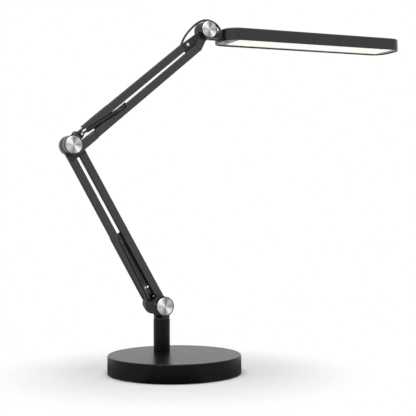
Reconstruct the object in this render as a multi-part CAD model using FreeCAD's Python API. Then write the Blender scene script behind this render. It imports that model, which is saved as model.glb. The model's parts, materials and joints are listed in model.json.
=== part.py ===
# Desk lamp with an LED head on two swing arms.
# Millimetres. The origin is the middle of the base's underside, +Z is up, the arms lie in a plane parallel
# to XZ above the post, and the head points along +X. The pose is the one in which the lamp stands for use.
import FreeCAD, Part
import math
import os
from FreeCAD import Placement, Rotation, Vector

# Fits shared by all pieces
CUT_OVERRUN = 1.0          # how far a cutting tool passes the face that it opens
SEAT_GAP = 0.02            # radial gap of a piece that is fixed in its bore
RUNNING_GAP = 0.05         # radial gap of a shaft that turns in its bore
CASING_GAP = 0.25          # gap between neighbouring casing pieces
FACE_GAP = 0.1             # gap between faces that turn past each other

# Base
BASE_RADIUS = 110.0
BASE_TOP = 30.6
COVER_WALL = 1.6
COVER_TOP_WALL = 2.0
COVER_EDGE_RADIUS = 2.2
FOOT_RING_HEIGHT = 1.5
FOOT_RING_INNER = 82.0
FOOT_RING_OUTER = 102.0
PLATE_THICKNESS = 2.0
WEIGHT_THICKNESS = 9.5
WEIGHT_BOSS_RADIUS = 20.0
BASE_SCREW_COUNT = 4
BASE_SCREW_CIRCLE = 62.0
BASE_SCREW_RADIUS = 2.5
BASE_SCREW_LENGTH = 8.0
BASE_SCREW_HEAD_RADIUS = 4.6
BASE_SCREW_HEAD_HEIGHT = 0.9
INLET_RADIUS = 5.4
INLET_FLANGE_RADIUS = 6.0
INLET_FLANGE_THICKNESS = 3.0
INLET_DEPTH = 15.0
INLET_BORE_RADIUS = 2.8

# Post and swivel
POST_Y = 49.0
POST_RADIUS = 14.0
POST_WALL = 1.5
POST_TOP = 84.0
PLUG_HEIGHT = 11.0
STUD_RADIUS = 5.0
STUD_BORE_RADIUS = 2.5
NUT_RADIUS = 9.0
NUT_HEIGHT = 5.0
LOWER_BUSH_BOTTOM = 47.0
LOWER_BUSH_HEIGHT = 8.0
UPPER_BUSH_HEIGHT = 10.0
BUSH_FLANGE_RADIUS = 13.0
BUSH_FLANGE_THICKNESS = 1.0
SPINDLE_RADIUS = 6.0
SPINDLE_BORE_RADIUS = 3.0
CLIP_RADIUS = 9.0
CLIP_THICKNESS = 1.5

# Hubs: three joints alike, each a stack along Y about the plane of the arms
HUB_ABOVE_POST = 22.0      # lower hub axis above the top of the post
HUB_HALF_LENGTH = 15.0     # from the plane of the arms to the face of a cap
HUB_CENTRE_HALF = 4.2      # half width of the knuckle between the cheeks
HUB_CHEEK_INNER = 4.9      # inner face of a cheek
HUB_CHEEK_OUTER = 12.6     # floor of the cap's seat
HUB_RIM_OUTER = 14.2       # edge of the rim round the cap
CAP_EDGE_CHAMFER = 0.7
CAP_HOLLOW_DEPTH = 0.5     # shallow cone turned into the cap's face
AXLE_RADIUS = 5.0
AXLE_BACK_SET = 0.2        # the axle ends this far below the cap's seat
WASHER_RADIUS = 11.5
LOWER_HUB_RADIUS = 16.4
LOWER_CAP_RADIUS = 15.0
ELBOW_HUB_RADIUS = 16.0
ELBOW_CAP_RADIUS = 14.1
HEAD_HUB_RADIUS = 15.6
HEAD_CAP_RADIUS = 14.0

# Turret
STEM_RADIUS = 13.5
STEM_SLOT_DROP = 14.8      # the slot for the arm's foot reaches this far below the hub axis
STEM_LEAD_DROP = 17.0      # the lead enters the stem this far below the hub axis
LOBE_RADIUS = 16.5
REAR_LOBE_RADIUS = 10.9
LOBE_WINDOW_RADIUS = 9.5
LOBE_WINDOW = (-25.5, 19.0)
LOWER_PIN = (-19.0, 5.0)   # spring pin, from the lower hub axis
LOWER_PIN_RADIUS = 2.5
LOWER_PIN_HEAD_RADIUS = 3.0
LOWER_PIN_HEAD_HEIGHT = 1.6

# Arms: places along (s) and across (z) each arm, from the hub at its lower end
BAR_WIDTH = 13.2
BAR_DEPTH = 7.0
BAR_EDGE_CHAMFER = 0.8
LOWER_LENGTH = 311.0       # hub axis to hub axis
UPRIGHT = 90.0             # degrees
LOWER_LEAN = 31.0          # degrees back from upright
LOWER_FRONT_START = 26.0   # from the lower hub axis to the front bar
LOWER_REAR_START = 22.0    # from the lower hub axis to the rear bar
ELBOW_NECK = 23.0          # from the lower bars' ends to the elbow axis
LOWER_FRONT_SIDE = (-4.7, -9.6)    # front bar's middle line, across the arm, at its two ends
LOWER_REAR_SIDE = (15.9, 9.7)
FOOT_RADIUS = 12.5
UPPER_LENGTH = 322.0       # hub axis to hub axis
UPPER_RISE = 40.0          # degrees above level
UPPER_BOTTOM_START = 46.0  # from the elbow axis to the bottom bar
UPPER_TOP_START = 33.0     # from the elbow axis to the tip of the top bar
UPPER_TOP_TIP = 1.0        # width that the slanted end leaves at the tip
UPPER_TOP_SLANT = 9.2      # length of the slanted end along the arm
HEAD_NECK_BOTTOM = 32.0    # from the bottom bar's end to the head hub axis
HEAD_NECK_TOP = 57.0       # from the top bar's end to the head hub axis
UPPER_BOTTOM_SIDE = (-12.4, -13.6)
UPPER_TOP_SIDE = (6.2, 3.4)
TENON_LENGTH = 14.0
TENON_WIDTH = 6.4
TENON_DEPTH = 4.0
TENON_GAP = 0.05
HOUSING_RADIUS = 15.5
HOUSING_RECESS_DEPTH = 2.5
HOUSING_RECESS_LENGTH = 9.0
YOKE_NECK_OUTER = 7.5      # outer face of the yoke's neck, from the plane of the arms
YOKE_BLOCK_START = 34.0
YOKE_TAPER = 3.4           # bevel of the yoke towards the bar
KNUCKLE_TONGUE_WIDTH = 12.0
KNUCKLE_TONGUE_DEPTH = 6.0
KNUCKLE_GUSSET_DEPTH = 4.0
KNUCKLE_GUSSET_GAP = 0.3   # between the gusset and the bars
KNUCKLE_SCREW_BACKS = (46.0, 37.5, 28.5)   # from the head hub axis back to each screw
KNUCKLE_SCREW_RADII = (3.1, 2.2, 2.2)
KNUCKLE_SCREW_HEAD = 1.2
KNUCKLE_SCREW_SHANK_RADIUS = 1.4
KNUCKLE_SCREW_SHANK = 3.5

# Web plates that join the two bars of an arm behind its spring
WEB_THICKNESS = 2.0
LOWER_WEB_START = 31.0
LOWER_WEB_END = 146.0
LOWER_WEB_FIRST_SCREW = 39.0       # from the web's start to its first screws
LOWER_WEB_HOLES = ((41.6, 7.9), (40.7, 3.2))   # sight holes beside the spring's hook
LOWER_WEB_HOLE_RADIUS = 1.8
UPPER_WEB_START = 50.0
UPPER_WEB_END = 92.0
UPPER_WEB_FIRST_SCREW = 12.0
WEB_LAST_SCREW = 8.0       # from a web's last screws to its end
WEB_SCREW_RADIUS = 1.25
WEB_SCREW_HEAD_RADIUS = 2.0
WEB_SCREW_HEAD_HEIGHT = 1.3
WEB_SCREW_DEPTH = 4.0
WEB_SCREW_EDGE = 2.2       # from a bar's outer edge to the screws in it

# Springs
LOWER_ANCHOR = (138.0, 6.5)
UPPER_ANCHOR = (113.0, -8.0)
UPPER_PIN = (25.5, 3.0)    # on the elbow housing, given in the upper arm's directions from its hub
ANCHOR_PIN_RADIUS = 2.0
ANCHOR_PIN_FRONT = 2.8
UPPER_PIN_RADIUS = 2.0
UPPER_PIN_HALF = 4.5
ANCHOR_PLATE_MARGIN = 9.0  # from the upper anchor to the end of the web's arm that carries it
LUG_TIP_RADIUS = 5.0
LUG_ROOT_RADIUS = 9.0
LUG_HALF_DEPTH = 1.6
LUG_HOLE = (17.0, 9.6)
LUG_HOLE_RADIUS = 2.3
LUG_EYE_RADIUS = 4.6
LOWER_SPRING_RADIUS = 3.5
LOWER_SPRING_WIRE_RADIUS = 0.6
LOWER_SPRING_TURNS = 42
LOWER_SPRING_START = 36.0  # from the pin to the coil
LOWER_SPRING_END = 12.0    # from the coil to the anchor
UPPER_SPRING_RADIUS = 3.1
UPPER_SPRING_WIRE_RADIUS = 0.5
UPPER_SPRING_TURNS = 40
UPPER_SPRING_START = 11.0
UPPER_SPRING_END = 11.0
SPRING_CORRIDOR_GAP = 0.7  # room beside a spring in the bars that it passes
SPRING_PLUG_GAP = 0.15     # between a spring's turns and the plug inside them
SPRING_PLUG_LENGTH = 9.0
SPRING_EYE_RADIUS = 3.5
SPRING_EYE_GAP = 0.15
SPRING_TONGUE_WIDTH = 3.6
SPRING_TONGUE_HALF = 1.1
SPRING_EYE_OFFSET = 2.9    # the upper spring's eye lies beside the housing's lug, this far forward

# Lead along the arms
LEAD_RADIUS = 1.9
LEAD_WEB_GAP = 0.2         # between the lead and the webs that it passes
LEAD_BORE_GAP = 0.06
LEAD_INSET = 0.8           # lead's axis from a bar's middle line, towards the arm's middle
LOWER_LEAD_START = 70.0    # from the lower hub axis
LOWER_LEAD_END = 49.3      # back from the elbow axis
UPPER_LEAD_START = 58.0    # from the elbow axis
UPPER_LEAD_END = 72.0      # back from the head hub axis
LEAD_CLIP_SHARES = (0.078, 0.53, 0.94)
LEAD_CLIP_LENGTH = 6.0
LEAD_CLIP_WALL = 1.3

# Head: places from the head hub axis, along (x) and up (z)
HEAD_PITCH = 1.7           # degrees, tip up
HEAD_START = 26.5
HEAD_LENGTH = 381.0
HEAD_WIDTH = 70.0
HEAD_BOTTOM = -19.0
HEAD_THICKNESS = 21.9
HEAD_CORNER_RADIUS = 25.0
HEAD_EDGE_RADIUS = 2.4
HEAD_WALL = 2.2
FRAME_THICKNESS = 2.0
FRAME_SET_BACK = 1.8       # the frame lies this far above the cover's lower edge
WINDOW_START = 27.0        # from the head's end at the hub to the window
WINDOW_END = 17.0          # from the window to the head's tip
WINDOW_WIDTH = 53.0
WINDOW_CORNER_RADIUS = 6.0
DIFFUSER_FLANGE = 2.0
DIFFUSER_FLANGE_THICKNESS = 1.2
BOARD_THICKNESS = 1.6
BOARD_WIDTH = 18.0
BOARD_DROP = 9.5           # board's lower face above the head's underside
CHIP_SIZE = 2.8
CHIP_HEIGHT = 0.8
CHIP_COLUMNS = 24
CHIP_ROW_PITCH = 9.0
SPREADER_THICKNESS = 3.0
SPREADER_WIDTH = 50.0
BOSS_RADIUS = 3.2
BOSS_SHARES = (0.1, 0.5, 0.9)
SPREADER_SCREW_RADIUS = 1.25
SPREADER_SCREW_HEAD_RADIUS = 2.4
SPREADER_SCREW_HEAD_HEIGHT = 1.4
SPREADER_SCREW_DEPTH = 2.5
SWITCH_BOARD_LENGTH = 15.0
SWITCH_BOARD_WIDTH = 16.0
SWITCH_SIZE = 6.0
SWITCH_HEIGHT = 3.5
SWITCH_STEM_RADIUS = 1.6
SWITCH_POST_SIZE = 4.0
BUTTON_PLACE = 14.5        # from the head's end at the hub to the button's axis
BUTTON_RADIUS = 4.0
BUTTON_GAP = 0.15
BUTTON_PROUD = 1.2
BUTTON_FLANGE_RADIUS = 5.2
BUTTON_FLANGE_THICKNESS = 1.0
BUTTON_TRAVEL = 0.8
BUTTON_STEM_GAP = 0.1
FORK_BLOCK_START = 18.5
FORK_BLOCK_TOP = -5.0
FORK_BLOCK_BOTTOM = -14.0
FORK_TONGUE_HALF = 8.0     # the fork's tongue passes through the head's end wall
FORK_TONGUE_INSET = 1.5
FORK_TONGUE_REACH = 3.5
ENTRY_X = 33.4             # where the lead enters the head's top
ENTRY_W = 6.0
ENTRY_GAP = 0.12           # room round the lead in its grommet
GROMMET_RADIUS = 3.2
GROMMET_FLANGE_RADIUS = 4.2
GROMMET_FLANGE_HEIGHT = 1.4

# Routes of the lead's loops, chosen by hand, each from its own hub: along X, along Y, up
TURRET_LOOP = (
    (0.0, 12.0, -17.0), (0.0, 20.3, -17.0), (-1.0, 27.5, -12.5), (-3.5, 31.0, -3.8), (-9.0, 28.0, 7.4),
    (-16.0, 23.4, 17.2), (-24.0, 17.2, 25.4), (-33.0, 11.0, 33.0), (-41.0, 7.6, 43.0), (-47.2, 7.6, 53.3),
)
ELBOW_LOOP = (
    (17.4, 7.6, -46.7), (11.2, 7.6, -36.4), (6.0, 11.2, -26.2), (2.4, 16.6, -15.8), (1.2, 20.0, -4.2),
    (3.6, 20.4, 7.6), (10.4, 17.2, 17.6), (20.6, 11.6, 25.8), (31.4, 7.6, 34.1), (40.6, 7.6, 41.85),
)
HEAD_LOOP = (
    (-57.46, 7.6, -43.53), (-49.8, 7.6, -37.1), (-44.4, 7.2, -27.0), (-39.8, 7.0, -16.0), (-33.0, 6.8, -6.0),
    (-24.0, 6.6, 4.0), (-13.0, 6.6, 13.8), (-1.0, 6.6, 19.6), (11.0, 6.5, 20.2), (22.0, 6.3, 16.0),
    (29.5, 6.1, 9.5), (33.0, 6.0, 2.0), (33.6, 6.0, -3.0),
)

# Worked out from the sizes above
PLATE_BOTTOM = FOOT_RING_HEIGHT
WEIGHT_BOTTOM = PLATE_BOTTOM + PLATE_THICKNESS
WEIGHT_TOP = WEIGHT_BOTTOM + WEIGHT_THICKNESS
COVER_CEILING = BASE_TOP - COVER_TOP_WALL
POST_BORE_RADIUS = POST_RADIUS - POST_WALL
SPINDLE_FOOT = LOWER_BUSH_BOTTOM - CLIP_THICKNESS - FACE_GAP
HUB_HEIGHT = POST_TOP + HUB_ABOVE_POST
STEM_FOOT = BUSH_FLANGE_THICKNESS + FACE_GAP - HUB_ABOVE_POST
STEM_SOLID_TOP = -STEM_SLOT_DROP
BAR_HALF = BAR_DEPTH / 2
WEB_BACK = BAR_HALF + WEB_THICKNESS
LEAD_W = WEB_BACK + LEAD_WEB_GAP + LEAD_RADIUS
LOWER_BARS_END = LOWER_LENGTH - ELBOW_NECK
LOWER_FRONT_BAR = ((LOWER_FRONT_START, LOWER_FRONT_SIDE[0]), (LOWER_BARS_END, LOWER_FRONT_SIDE[1]))
LOWER_REAR_BAR = ((LOWER_REAR_START, LOWER_REAR_SIDE[0]), (LOWER_BARS_END, LOWER_REAR_SIDE[1]))
UPPER_BOTTOM_BAR = (
    (UPPER_BOTTOM_START, UPPER_BOTTOM_SIDE[0]), (UPPER_LENGTH - HEAD_NECK_BOTTOM, UPPER_BOTTOM_SIDE[1]))
UPPER_TOP_BAR = ((UPPER_TOP_START, UPPER_TOP_SIDE[0]), (UPPER_LENGTH - HEAD_NECK_TOP, UPPER_TOP_SIDE[1]))
LOWER_LEAD = (LOWER_LEAD_START, LOWER_LENGTH - LOWER_LEAD_END)
UPPER_LEAD = (UPPER_LEAD_START, UPPER_LENGTH - UPPER_LEAD_END)
HEAD_END = HEAD_START + HEAD_LENGTH
HEAD_HALF = HEAD_WIDTH / 2
HEAD_TOP = HEAD_BOTTOM + HEAD_THICKNESS
HEAD_CEILING = HEAD_TOP - HEAD_WALL
FRAME_BOTTOM = HEAD_BOTTOM + FRAME_SET_BACK
FRAME_TOP = FRAME_BOTTOM + FRAME_THICKNESS
WINDOW_X0 = HEAD_START + WINDOW_START
WINDOW_X1 = HEAD_END - WINDOW_END
BOARD_BOTTOM = HEAD_BOTTOM + BOARD_DROP
BOARD_TOP = BOARD_BOTTOM + BOARD_THICKNESS
SPREADER_TOP = BOARD_TOP + SPREADER_THICKNESS
BUTTON_X = HEAD_START + BUTTON_PLACE
BUTTON_BOTTOM = FRAME_BOTTOM - BUTTON_PROUD
BUTTON_FLANGE_BOTTOM = FRAME_TOP + FACE_GAP
BUTTON_TOP = BUTTON_FLANGE_BOTTOM + BUTTON_FLANGE_THICKNESS
SWITCH_BOTTOM = BUTTON_TOP + BUTTON_TRAVEL + BUTTON_STEM_GAP
SWITCH_BOARD_BOTTOM = SWITCH_BOTTOM + SWITCH_HEIGHT

Y_AXIS = Vector(0, 1, 0)
Z_AXIS = Vector(0, 0, 1)


def arm_frame(hub, rise):
    """Frame at a hub whose x runs along an arm that rises by so many degrees, with y to the rear."""
    return Placement(hub, Rotation(Y_AXIS, -rise))


WORLD = Placement()
POST = Placement(Vector(0, POST_Y, 0), Rotation())
LOWER_HUB = Vector(0, POST_Y, HUB_HEIGHT)
TURRET = Placement(LOWER_HUB, Rotation())
LOWER = arm_frame(LOWER_HUB, UPRIGHT + LOWER_LEAN)
ELBOW_HUB = LOWER.multVec(Vector(LOWER_LENGTH, 0, 0))
ELBOW = Placement(ELBOW_HUB, Rotation())
UPPER = arm_frame(ELBOW_HUB, UPPER_RISE)
HEAD_HUB = UPPER.multVec(Vector(UPPER_LENGTH, 0, 0))
HEAD_POINT = Placement(HEAD_HUB, Rotation())
HEAD = arm_frame(HEAD_HUB, HEAD_PITCH)


def in_frame(target, source, place):
    """A place (x, z) of one frame, given in another frame."""
    point = target.inverse().multVec(source.multVec(Vector(place[0], 0, place[1])))
    return (point.x, point.z)


def fuse(*shapes):
    """One solid from pieces that overlap."""
    return shapes[0].multiFuse(list(shapes[1:])).removeSplitter()


def round_y(radius, w0, w1, place=(0, 0)):
    """Cylinder along Y."""
    return Part.makeCylinder(radius, w1 - w0, Vector(place[0], w0, place[1]), Y_AXIS)


def round_z(radius, z0, z1, x=0, y=0):
    """Cylinder along Z."""
    return Part.makeCylinder(radius, z1 - z0, Vector(x, y, z0), Z_AXIS)


def ring_z(outer, inner, z0, z1):
    """Ring about the Z axis."""
    bore = round_z(inner, z0 - CUT_OVERRUN, z1 + CUT_OVERRUN)
    return round_z(outer, z0, z1).cut(bore)


def ring_y(outer, inner, w0, w1):
    """Ring about the Y axis."""
    bore = round_y(inner, w0 - CUT_OVERRUN, w1 + CUT_OVERRUN)
    return round_y(outer, w0, w1).cut(bore)


def block(x0, x1, w0, w1, z0, z1):
    """Box between two corners."""
    return Part.makeBox(x1 - x0, w1 - w0, z1 - z0, Vector(x0, w0, z0))


def prism(outline, w0, w1):
    """Flat outline of (x, z) points, given depth along Y."""
    points = [Vector(x, w0, z) for x, z in outline]
    face = Part.Face(Part.makePolygon(points + points[:1]))
    return face.extrude(Vector(0, w1 - w0, 0))


def strip(start, end, width, w0, w1):
    """Straight strip of even width between two places."""
    run = Vector(end[0] - start[0], 0, end[1] - start[1])
    side = Vector(-run.z, 0, run.x).normalize() * (width / 2)
    outline = [
        (start[0] + side.x, start[1] + side.z),
        (end[0] + side.x, end[1] + side.z),
        (end[0] - side.x, end[1] - side.z),
        (start[0] - side.x, start[1] - side.z),
    ]
    return prism(outline, w0, w1)


def link(start, start_radius, end, end_radius, w0, w1):
    """Flat link with round ends, its sides tangent to both ends."""
    run = Vector(end[0] - start[0], 0, end[1] - start[1])
    turn = math.degrees(math.acos((start_radius - end_radius) / run.Length))
    along = Vector(run).normalize()
    upper = Rotation(Y_AXIS, -turn).multVec(along)
    lower = Rotation(Y_AXIS, turn).multVec(along)
    outline = [
        (start[0] + upper.x * start_radius, start[1] + upper.z * start_radius),
        (end[0] + upper.x * end_radius, end[1] + upper.z * end_radius),
        (end[0] + lower.x * end_radius, end[1] + lower.z * end_radius),
        (start[0] + lower.x * start_radius, start[1] + lower.z * start_radius),
    ]
    ends = [round_y(start_radius, w0, w1, start), round_y(end_radius, w0, w1, end)]
    return fuse(prism(outline, w0, w1), *ends)


def point_on(line, s):
    """Place on a bar's middle line at a distance s along the arm."""
    (s0, z0), (s1, z1) = line
    return (s, z0 + (z1 - z0) * (s - s0) / (s1 - s0))


def beside(line, s, shift):
    """Place at a distance s along the arm, shifted across it from a bar's middle line."""
    place = point_on(line, s)
    return (place[0], place[1] + shift)


def arc_through(start, tangent, end):
    """Arc that leaves start along tangent and reaches end."""
    chord = end - start
    normal = chord - tangent * chord.dot(tangent)
    radius = chord.dot(chord) / (2 * normal.Length)
    centre = start + normal.normalize() * radius
    middle = ((start - centre) + (end - centre)).normalize() * radius + centre
    return Part.Arc(start, middle, end).toShape()


def biarc(start, start_tangent, end, end_tangent):
    """Two arcs that join two points with given tangents."""
    chord = end - start
    both = start_tangent + end_tangent
    bend = 2 * (1 - start_tangent.dot(end_tangent))
    reach = (-chord.dot(both) + math.sqrt(chord.dot(both) ** 2 + bend * chord.dot(chord))) / bend
    middle = (start + start_tangent * reach + end - end_tangent * reach) * 0.5
    middle_tangent = (end - end_tangent * reach - start - start_tangent * reach).normalize()
    return [arc_through(start, start_tangent, middle), arc_through(middle, middle_tangent, end)]


def coil(start, end, outer_radius, wire_radius, turns, name):
    """Close-wound wire between two places of the plane of the arms, its ends straight for one wire width."""
    axis = Vector(end[0] - start[0], 0, end[1] - start[1])
    length = axis.Length
    axis.normalize()
    side = Vector(-axis.z, 0, axis.x)
    origin = Vector(start[0], 0, start[1])
    radius = outer_radius - wire_radius
    pitch = length / turns

    def place(turn):
        angle = 2 * math.pi * turn
        return origin + axis * (pitch * turn) + (side * math.cos(angle) + Y_AXIS * math.sin(angle)) * radius

    def heading(turn):
        angle = 2 * math.pi * turn
        around = (Y_AXIS * math.cos(angle) - side * math.sin(angle)) * (2 * math.pi * radius)
        return (around + axis * pitch).normalize()

    quarter_turns = [quarter / 4 for quarter in range(4 * turns + 1)]
    lead_in = place(0) - heading(0) * (2 * wire_radius)
    lead_out = place(turns) + heading(turns) * (2 * wire_radius)
    edges = [Part.LineSegment(lead_in, place(0)).toShape()]
    for first, second in zip(quarter_turns, quarter_turns[1:]):
        edges += biarc(place(first), heading(first), place(second), heading(second))
    edges.append(Part.LineSegment(place(turns), lead_out).toShape())
    section = Part.Wire(Part.makeCircle(wire_radius, lead_in, heading(0)))
    wire = Part.Wire(edges).makePipeShell([section], True, False)
    middle = [place(turn) for turn in quarter_turns]
    gap = min((b - a).Length for a, b in zip(middle, middle[4:])) - 2 * wire_radius
    print(name, "turns", turns, "least gap between turns", round(gap, 3), "mm")
    return wire


def lead_tube(route, radius, name):
    """Round lead along straight runs joined by the largest tangent arcs that the runs allow."""
    points = [Vector(*place) for place in route]
    edges = []
    radii = []
    last = points[0]
    for before, corner, after in zip(points, points[1:], points[2:]):
        back = before - corner
        ahead = after - corner
        half_turn = (math.pi - back.getAngle(ahead)) / 2
        reach = 0.45 * min(back.Length, ahead.Length)
        radii.append(reach / math.tan(half_turn))
        arc_start = corner + back.normalize() * reach
        arc_end = corner + ahead.normalize() * reach
        edges.append(Part.LineSegment(last, arc_start).toShape())
        edges.append(arc_through(arc_start, (corner - arc_start).normalize(), arc_end))
        last = arc_end
    edges.append(Part.LineSegment(last, points[-1]).toShape())
    path = Part.Wire(edges)
    section = Part.Wire(Part.makeCircle(radius, points[0], points[1] - points[0]))
    tube = path.makePipeShell([section], True, False)
    expected = math.pi * radius ** 2 * path.Length
    print(name, "length", round(path.Length, 1), "least radius", round(min(radii), 1),
          "volume share", round(tube.Volume / expected, 4))
    return tube


# Base

def base_cover():
    shell = round_z(BASE_RADIUS, PLATE_BOTTOM, BASE_TOP)
    rim = [edge for edge in shell.Edges if edge.BoundBox.ZMin > BASE_TOP - CUT_OVERRUN]
    shell = shell.makeFillet(COVER_EDGE_RADIUS, rim)
    hollow = round_z(BASE_RADIUS - COVER_WALL, PLATE_BOTTOM - CUT_OVERRUN, COVER_CEILING)
    stud_radius = STUD_RADIUS + SEAT_GAP
    stud_hole = round_z(stud_radius, COVER_CEILING - CUT_OVERRUN, BASE_TOP + CUT_OVERRUN, 0, POST_Y)
    return shell.cut(hollow).cut(stud_hole).cut(inlet_envelope(INLET_RADIUS + SEAT_GAP))


def inlet_height():
    return (WEIGHT_TOP + COVER_CEILING) / 2


def inlet_envelope(radius):
    """Round bar through the back of the base where the inlet sits."""
    front = BASE_RADIUS - INLET_DEPTH - CUT_OVERRUN
    return round_y(radius, front, BASE_RADIUS + CUT_OVERRUN, (0, inlet_height()))


def power_inlet():
    back = BASE_RADIUS - FACE_GAP
    place = (0, inlet_height())
    body = round_y(INLET_RADIUS, BASE_RADIUS - INLET_DEPTH, back, place)
    flange_back = math.sqrt((BASE_RADIUS - COVER_WALL) ** 2 - INLET_FLANGE_RADIUS ** 2)
    flange = round_y(INLET_FLANGE_RADIUS, flange_back - INLET_FLANGE_THICKNESS, flange_back, place)
    return fuse(body, flange).cut(inlet_envelope(INLET_BORE_RADIUS))


def base_foot_ring():
    return ring_z(FOOT_RING_OUTER, FOOT_RING_INNER, 0, FOOT_RING_HEIGHT)


def base_screw_places():
    step = 2 * math.pi / BASE_SCREW_COUNT
    angles = [step * (number + 0.5) for number in range(BASE_SCREW_COUNT)]
    return [(BASE_SCREW_CIRCLE * math.cos(angle), BASE_SCREW_CIRCLE * math.sin(angle)) for angle in angles]


def base_screw_holes():
    top = PLATE_BOTTOM + BASE_SCREW_LENGTH + CUT_OVERRUN
    radius = BASE_SCREW_RADIUS + SEAT_GAP
    holes = [round_z(radius, PLATE_BOTTOM - CUT_OVERRUN, top, x, y) for x, y in base_screw_places()]
    return Part.makeCompound(holes)


def base_screws():
    screws = []
    for x, y in base_screw_places():
        shank = round_z(BASE_SCREW_RADIUS, PLATE_BOTTOM, PLATE_BOTTOM + BASE_SCREW_LENGTH, x, y)
        head = round_z(BASE_SCREW_HEAD_RADIUS, PLATE_BOTTOM - BASE_SCREW_HEAD_HEIGHT, PLATE_BOTTOM, x, y)
        screws.append(fuse(shank, head))
    return Part.makeCompound(screws)


def base_plate():
    plate = round_z(BASE_RADIUS - COVER_WALL - CASING_GAP, PLATE_BOTTOM, WEIGHT_BOTTOM)
    nut_radius = NUT_RADIUS + CASING_GAP
    nut_hole = round_z(nut_radius, PLATE_BOTTOM - CUT_OVERRUN, WEIGHT_BOTTOM + CUT_OVERRUN, 0, POST_Y)
    return plate.cut(base_screw_holes()).cut(nut_hole)


def base_weight():
    slab = round_z(BASE_RADIUS - COVER_WALL - CASING_GAP, WEIGHT_BOTTOM, WEIGHT_TOP)
    boss = round_z(WEIGHT_BOSS_RADIUS, WEIGHT_BOTTOM, COVER_CEILING, 0, POST_Y)
    stud_hole = round_z(STUD_RADIUS + SEAT_GAP, WEIGHT_BOTTOM, COVER_CEILING + CUT_OVERRUN, 0, POST_Y)
    nut_radius = NUT_RADIUS + CASING_GAP
    nut_pocket = round_z(nut_radius, WEIGHT_BOTTOM - CUT_OVERRUN, WEIGHT_BOTTOM + NUT_HEIGHT, 0, POST_Y)
    return fuse(slab, boss).cut(stud_hole).cut(nut_pocket).cut(base_screw_holes())


def post_stud():
    bottom = WEIGHT_BOTTOM
    top = BASE_TOP + PLUG_HEIGHT
    return ring_z(STUD_RADIUS, STUD_BORE_RADIUS, bottom, top)


def post_nut():
    corners = [(NUT_RADIUS * math.cos(math.radians(60 * n)), NUT_RADIUS * math.sin(math.radians(60 * n)))
               for n in range(6)]
    points = [Vector(x, y, WEIGHT_BOTTOM) for x, y in corners]
    nut = Part.Face(Part.makePolygon(points + points[:1])).extrude(Vector(0, 0, NUT_HEIGHT))
    return nut.cut(round_z(STUD_RADIUS + SEAT_GAP, 0, WEIGHT_TOP))


def post_plug():
    return ring_z(POST_BORE_RADIUS - SEAT_GAP, STUD_RADIUS + SEAT_GAP, BASE_TOP, BASE_TOP + PLUG_HEIGHT)


def post_tube():
    return ring_z(POST_RADIUS, POST_BORE_RADIUS, BASE_TOP, POST_TOP)


def swivel_bushes():
    outer = POST_BORE_RADIUS - SEAT_GAP
    inner = SPINDLE_RADIUS + RUNNING_GAP
    lower = ring_z(outer, inner, LOWER_BUSH_BOTTOM, LOWER_BUSH_BOTTOM + LOWER_BUSH_HEIGHT)
    sleeve = ring_z(outer, inner, POST_TOP - UPPER_BUSH_HEIGHT, POST_TOP + BUSH_FLANGE_THICKNESS)
    flange = ring_z(BUSH_FLANGE_RADIUS, inner, POST_TOP, POST_TOP + BUSH_FLANGE_THICKNESS)
    return Part.makeCompound([lower, fuse(sleeve, flange)])


def spindle():
    return ring_z(SPINDLE_RADIUS, SPINDLE_BORE_RADIUS, SPINDLE_FOOT, HUB_HEIGHT + STEM_SOLID_TOP)


def spindle_clip():
    return ring_z(CLIP_RADIUS, SPINDLE_RADIUS + SEAT_GAP, SPINDLE_FOOT, SPINDLE_FOOT + CLIP_THICKNESS)


# Hub pieces, used at all three joints

def hub_cheeks(radius):
    """Front and rear cheeks, each with the rim that stands round its cap."""
    front = round_y(radius, -HUB_RIM_OUTER, -HUB_CHEEK_INNER)
    return [front, round_y(radius, HUB_CHEEK_INNER, HUB_RIM_OUTER)]


def hub_bore(gap):
    """Round bar that opens a hub for its axle."""
    return round_y(AXLE_RADIUS + gap, -HUB_HALF_LENGTH, HUB_HALF_LENGTH)


def hub_opening(cap_radius):
    """Bore for a fixed axle with the seats of the caps at its ends."""
    radius = cap_radius + SEAT_GAP
    front_seat = round_y(radius, -HUB_HALF_LENGTH, -HUB_CHEEK_OUTER)
    rear_seat = round_y(radius, HUB_CHEEK_OUTER, HUB_HALF_LENGTH)
    return fuse(hub_bore(SEAT_GAP), front_seat, rear_seat)


def hub_axle():
    return round_y(AXLE_RADIUS, AXLE_BACK_SET - HUB_CHEEK_OUTER, HUB_CHEEK_OUTER - AXLE_BACK_SET)


def hub_caps(cap_radius):
    """Front and rear caps, turned discs with a bevelled edge and a shallow hollow face."""
    front = round_y(cap_radius, -HUB_HALF_LENGTH, -HUB_CHEEK_OUTER)
    face_edge = [edge for edge in front.Edges if edge.BoundBox.YMax < CUT_OVERRUN - HUB_HALF_LENGTH]
    front = front.makeChamfer(CAP_EDGE_CHAMFER, face_edge)
    hollow = Part.makeCone(cap_radius - 2 * CAP_EDGE_CHAMFER, 0, CAP_HOLLOW_DEPTH,
                           Vector(0, -HUB_HALF_LENGTH, 0), Y_AXIS)
    front = front.cut(hollow)
    rear = front.mirror(Vector(), Y_AXIS)
    return Part.makeCompound([front, rear])


def hub_washers():
    """Friction washers between a knuckle and its cheeks."""
    inner = AXLE_RADIUS + SEAT_GAP
    front = ring_y(WASHER_RADIUS, inner, -HUB_CHEEK_INNER, -HUB_CENTRE_HALF - RUNNING_GAP)
    rear = ring_y(WASHER_RADIUS, inner, HUB_CENTRE_HALF + RUNNING_GAP, HUB_CHEEK_INNER)
    return Part.makeCompound([front, rear])


# Turret

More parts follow.
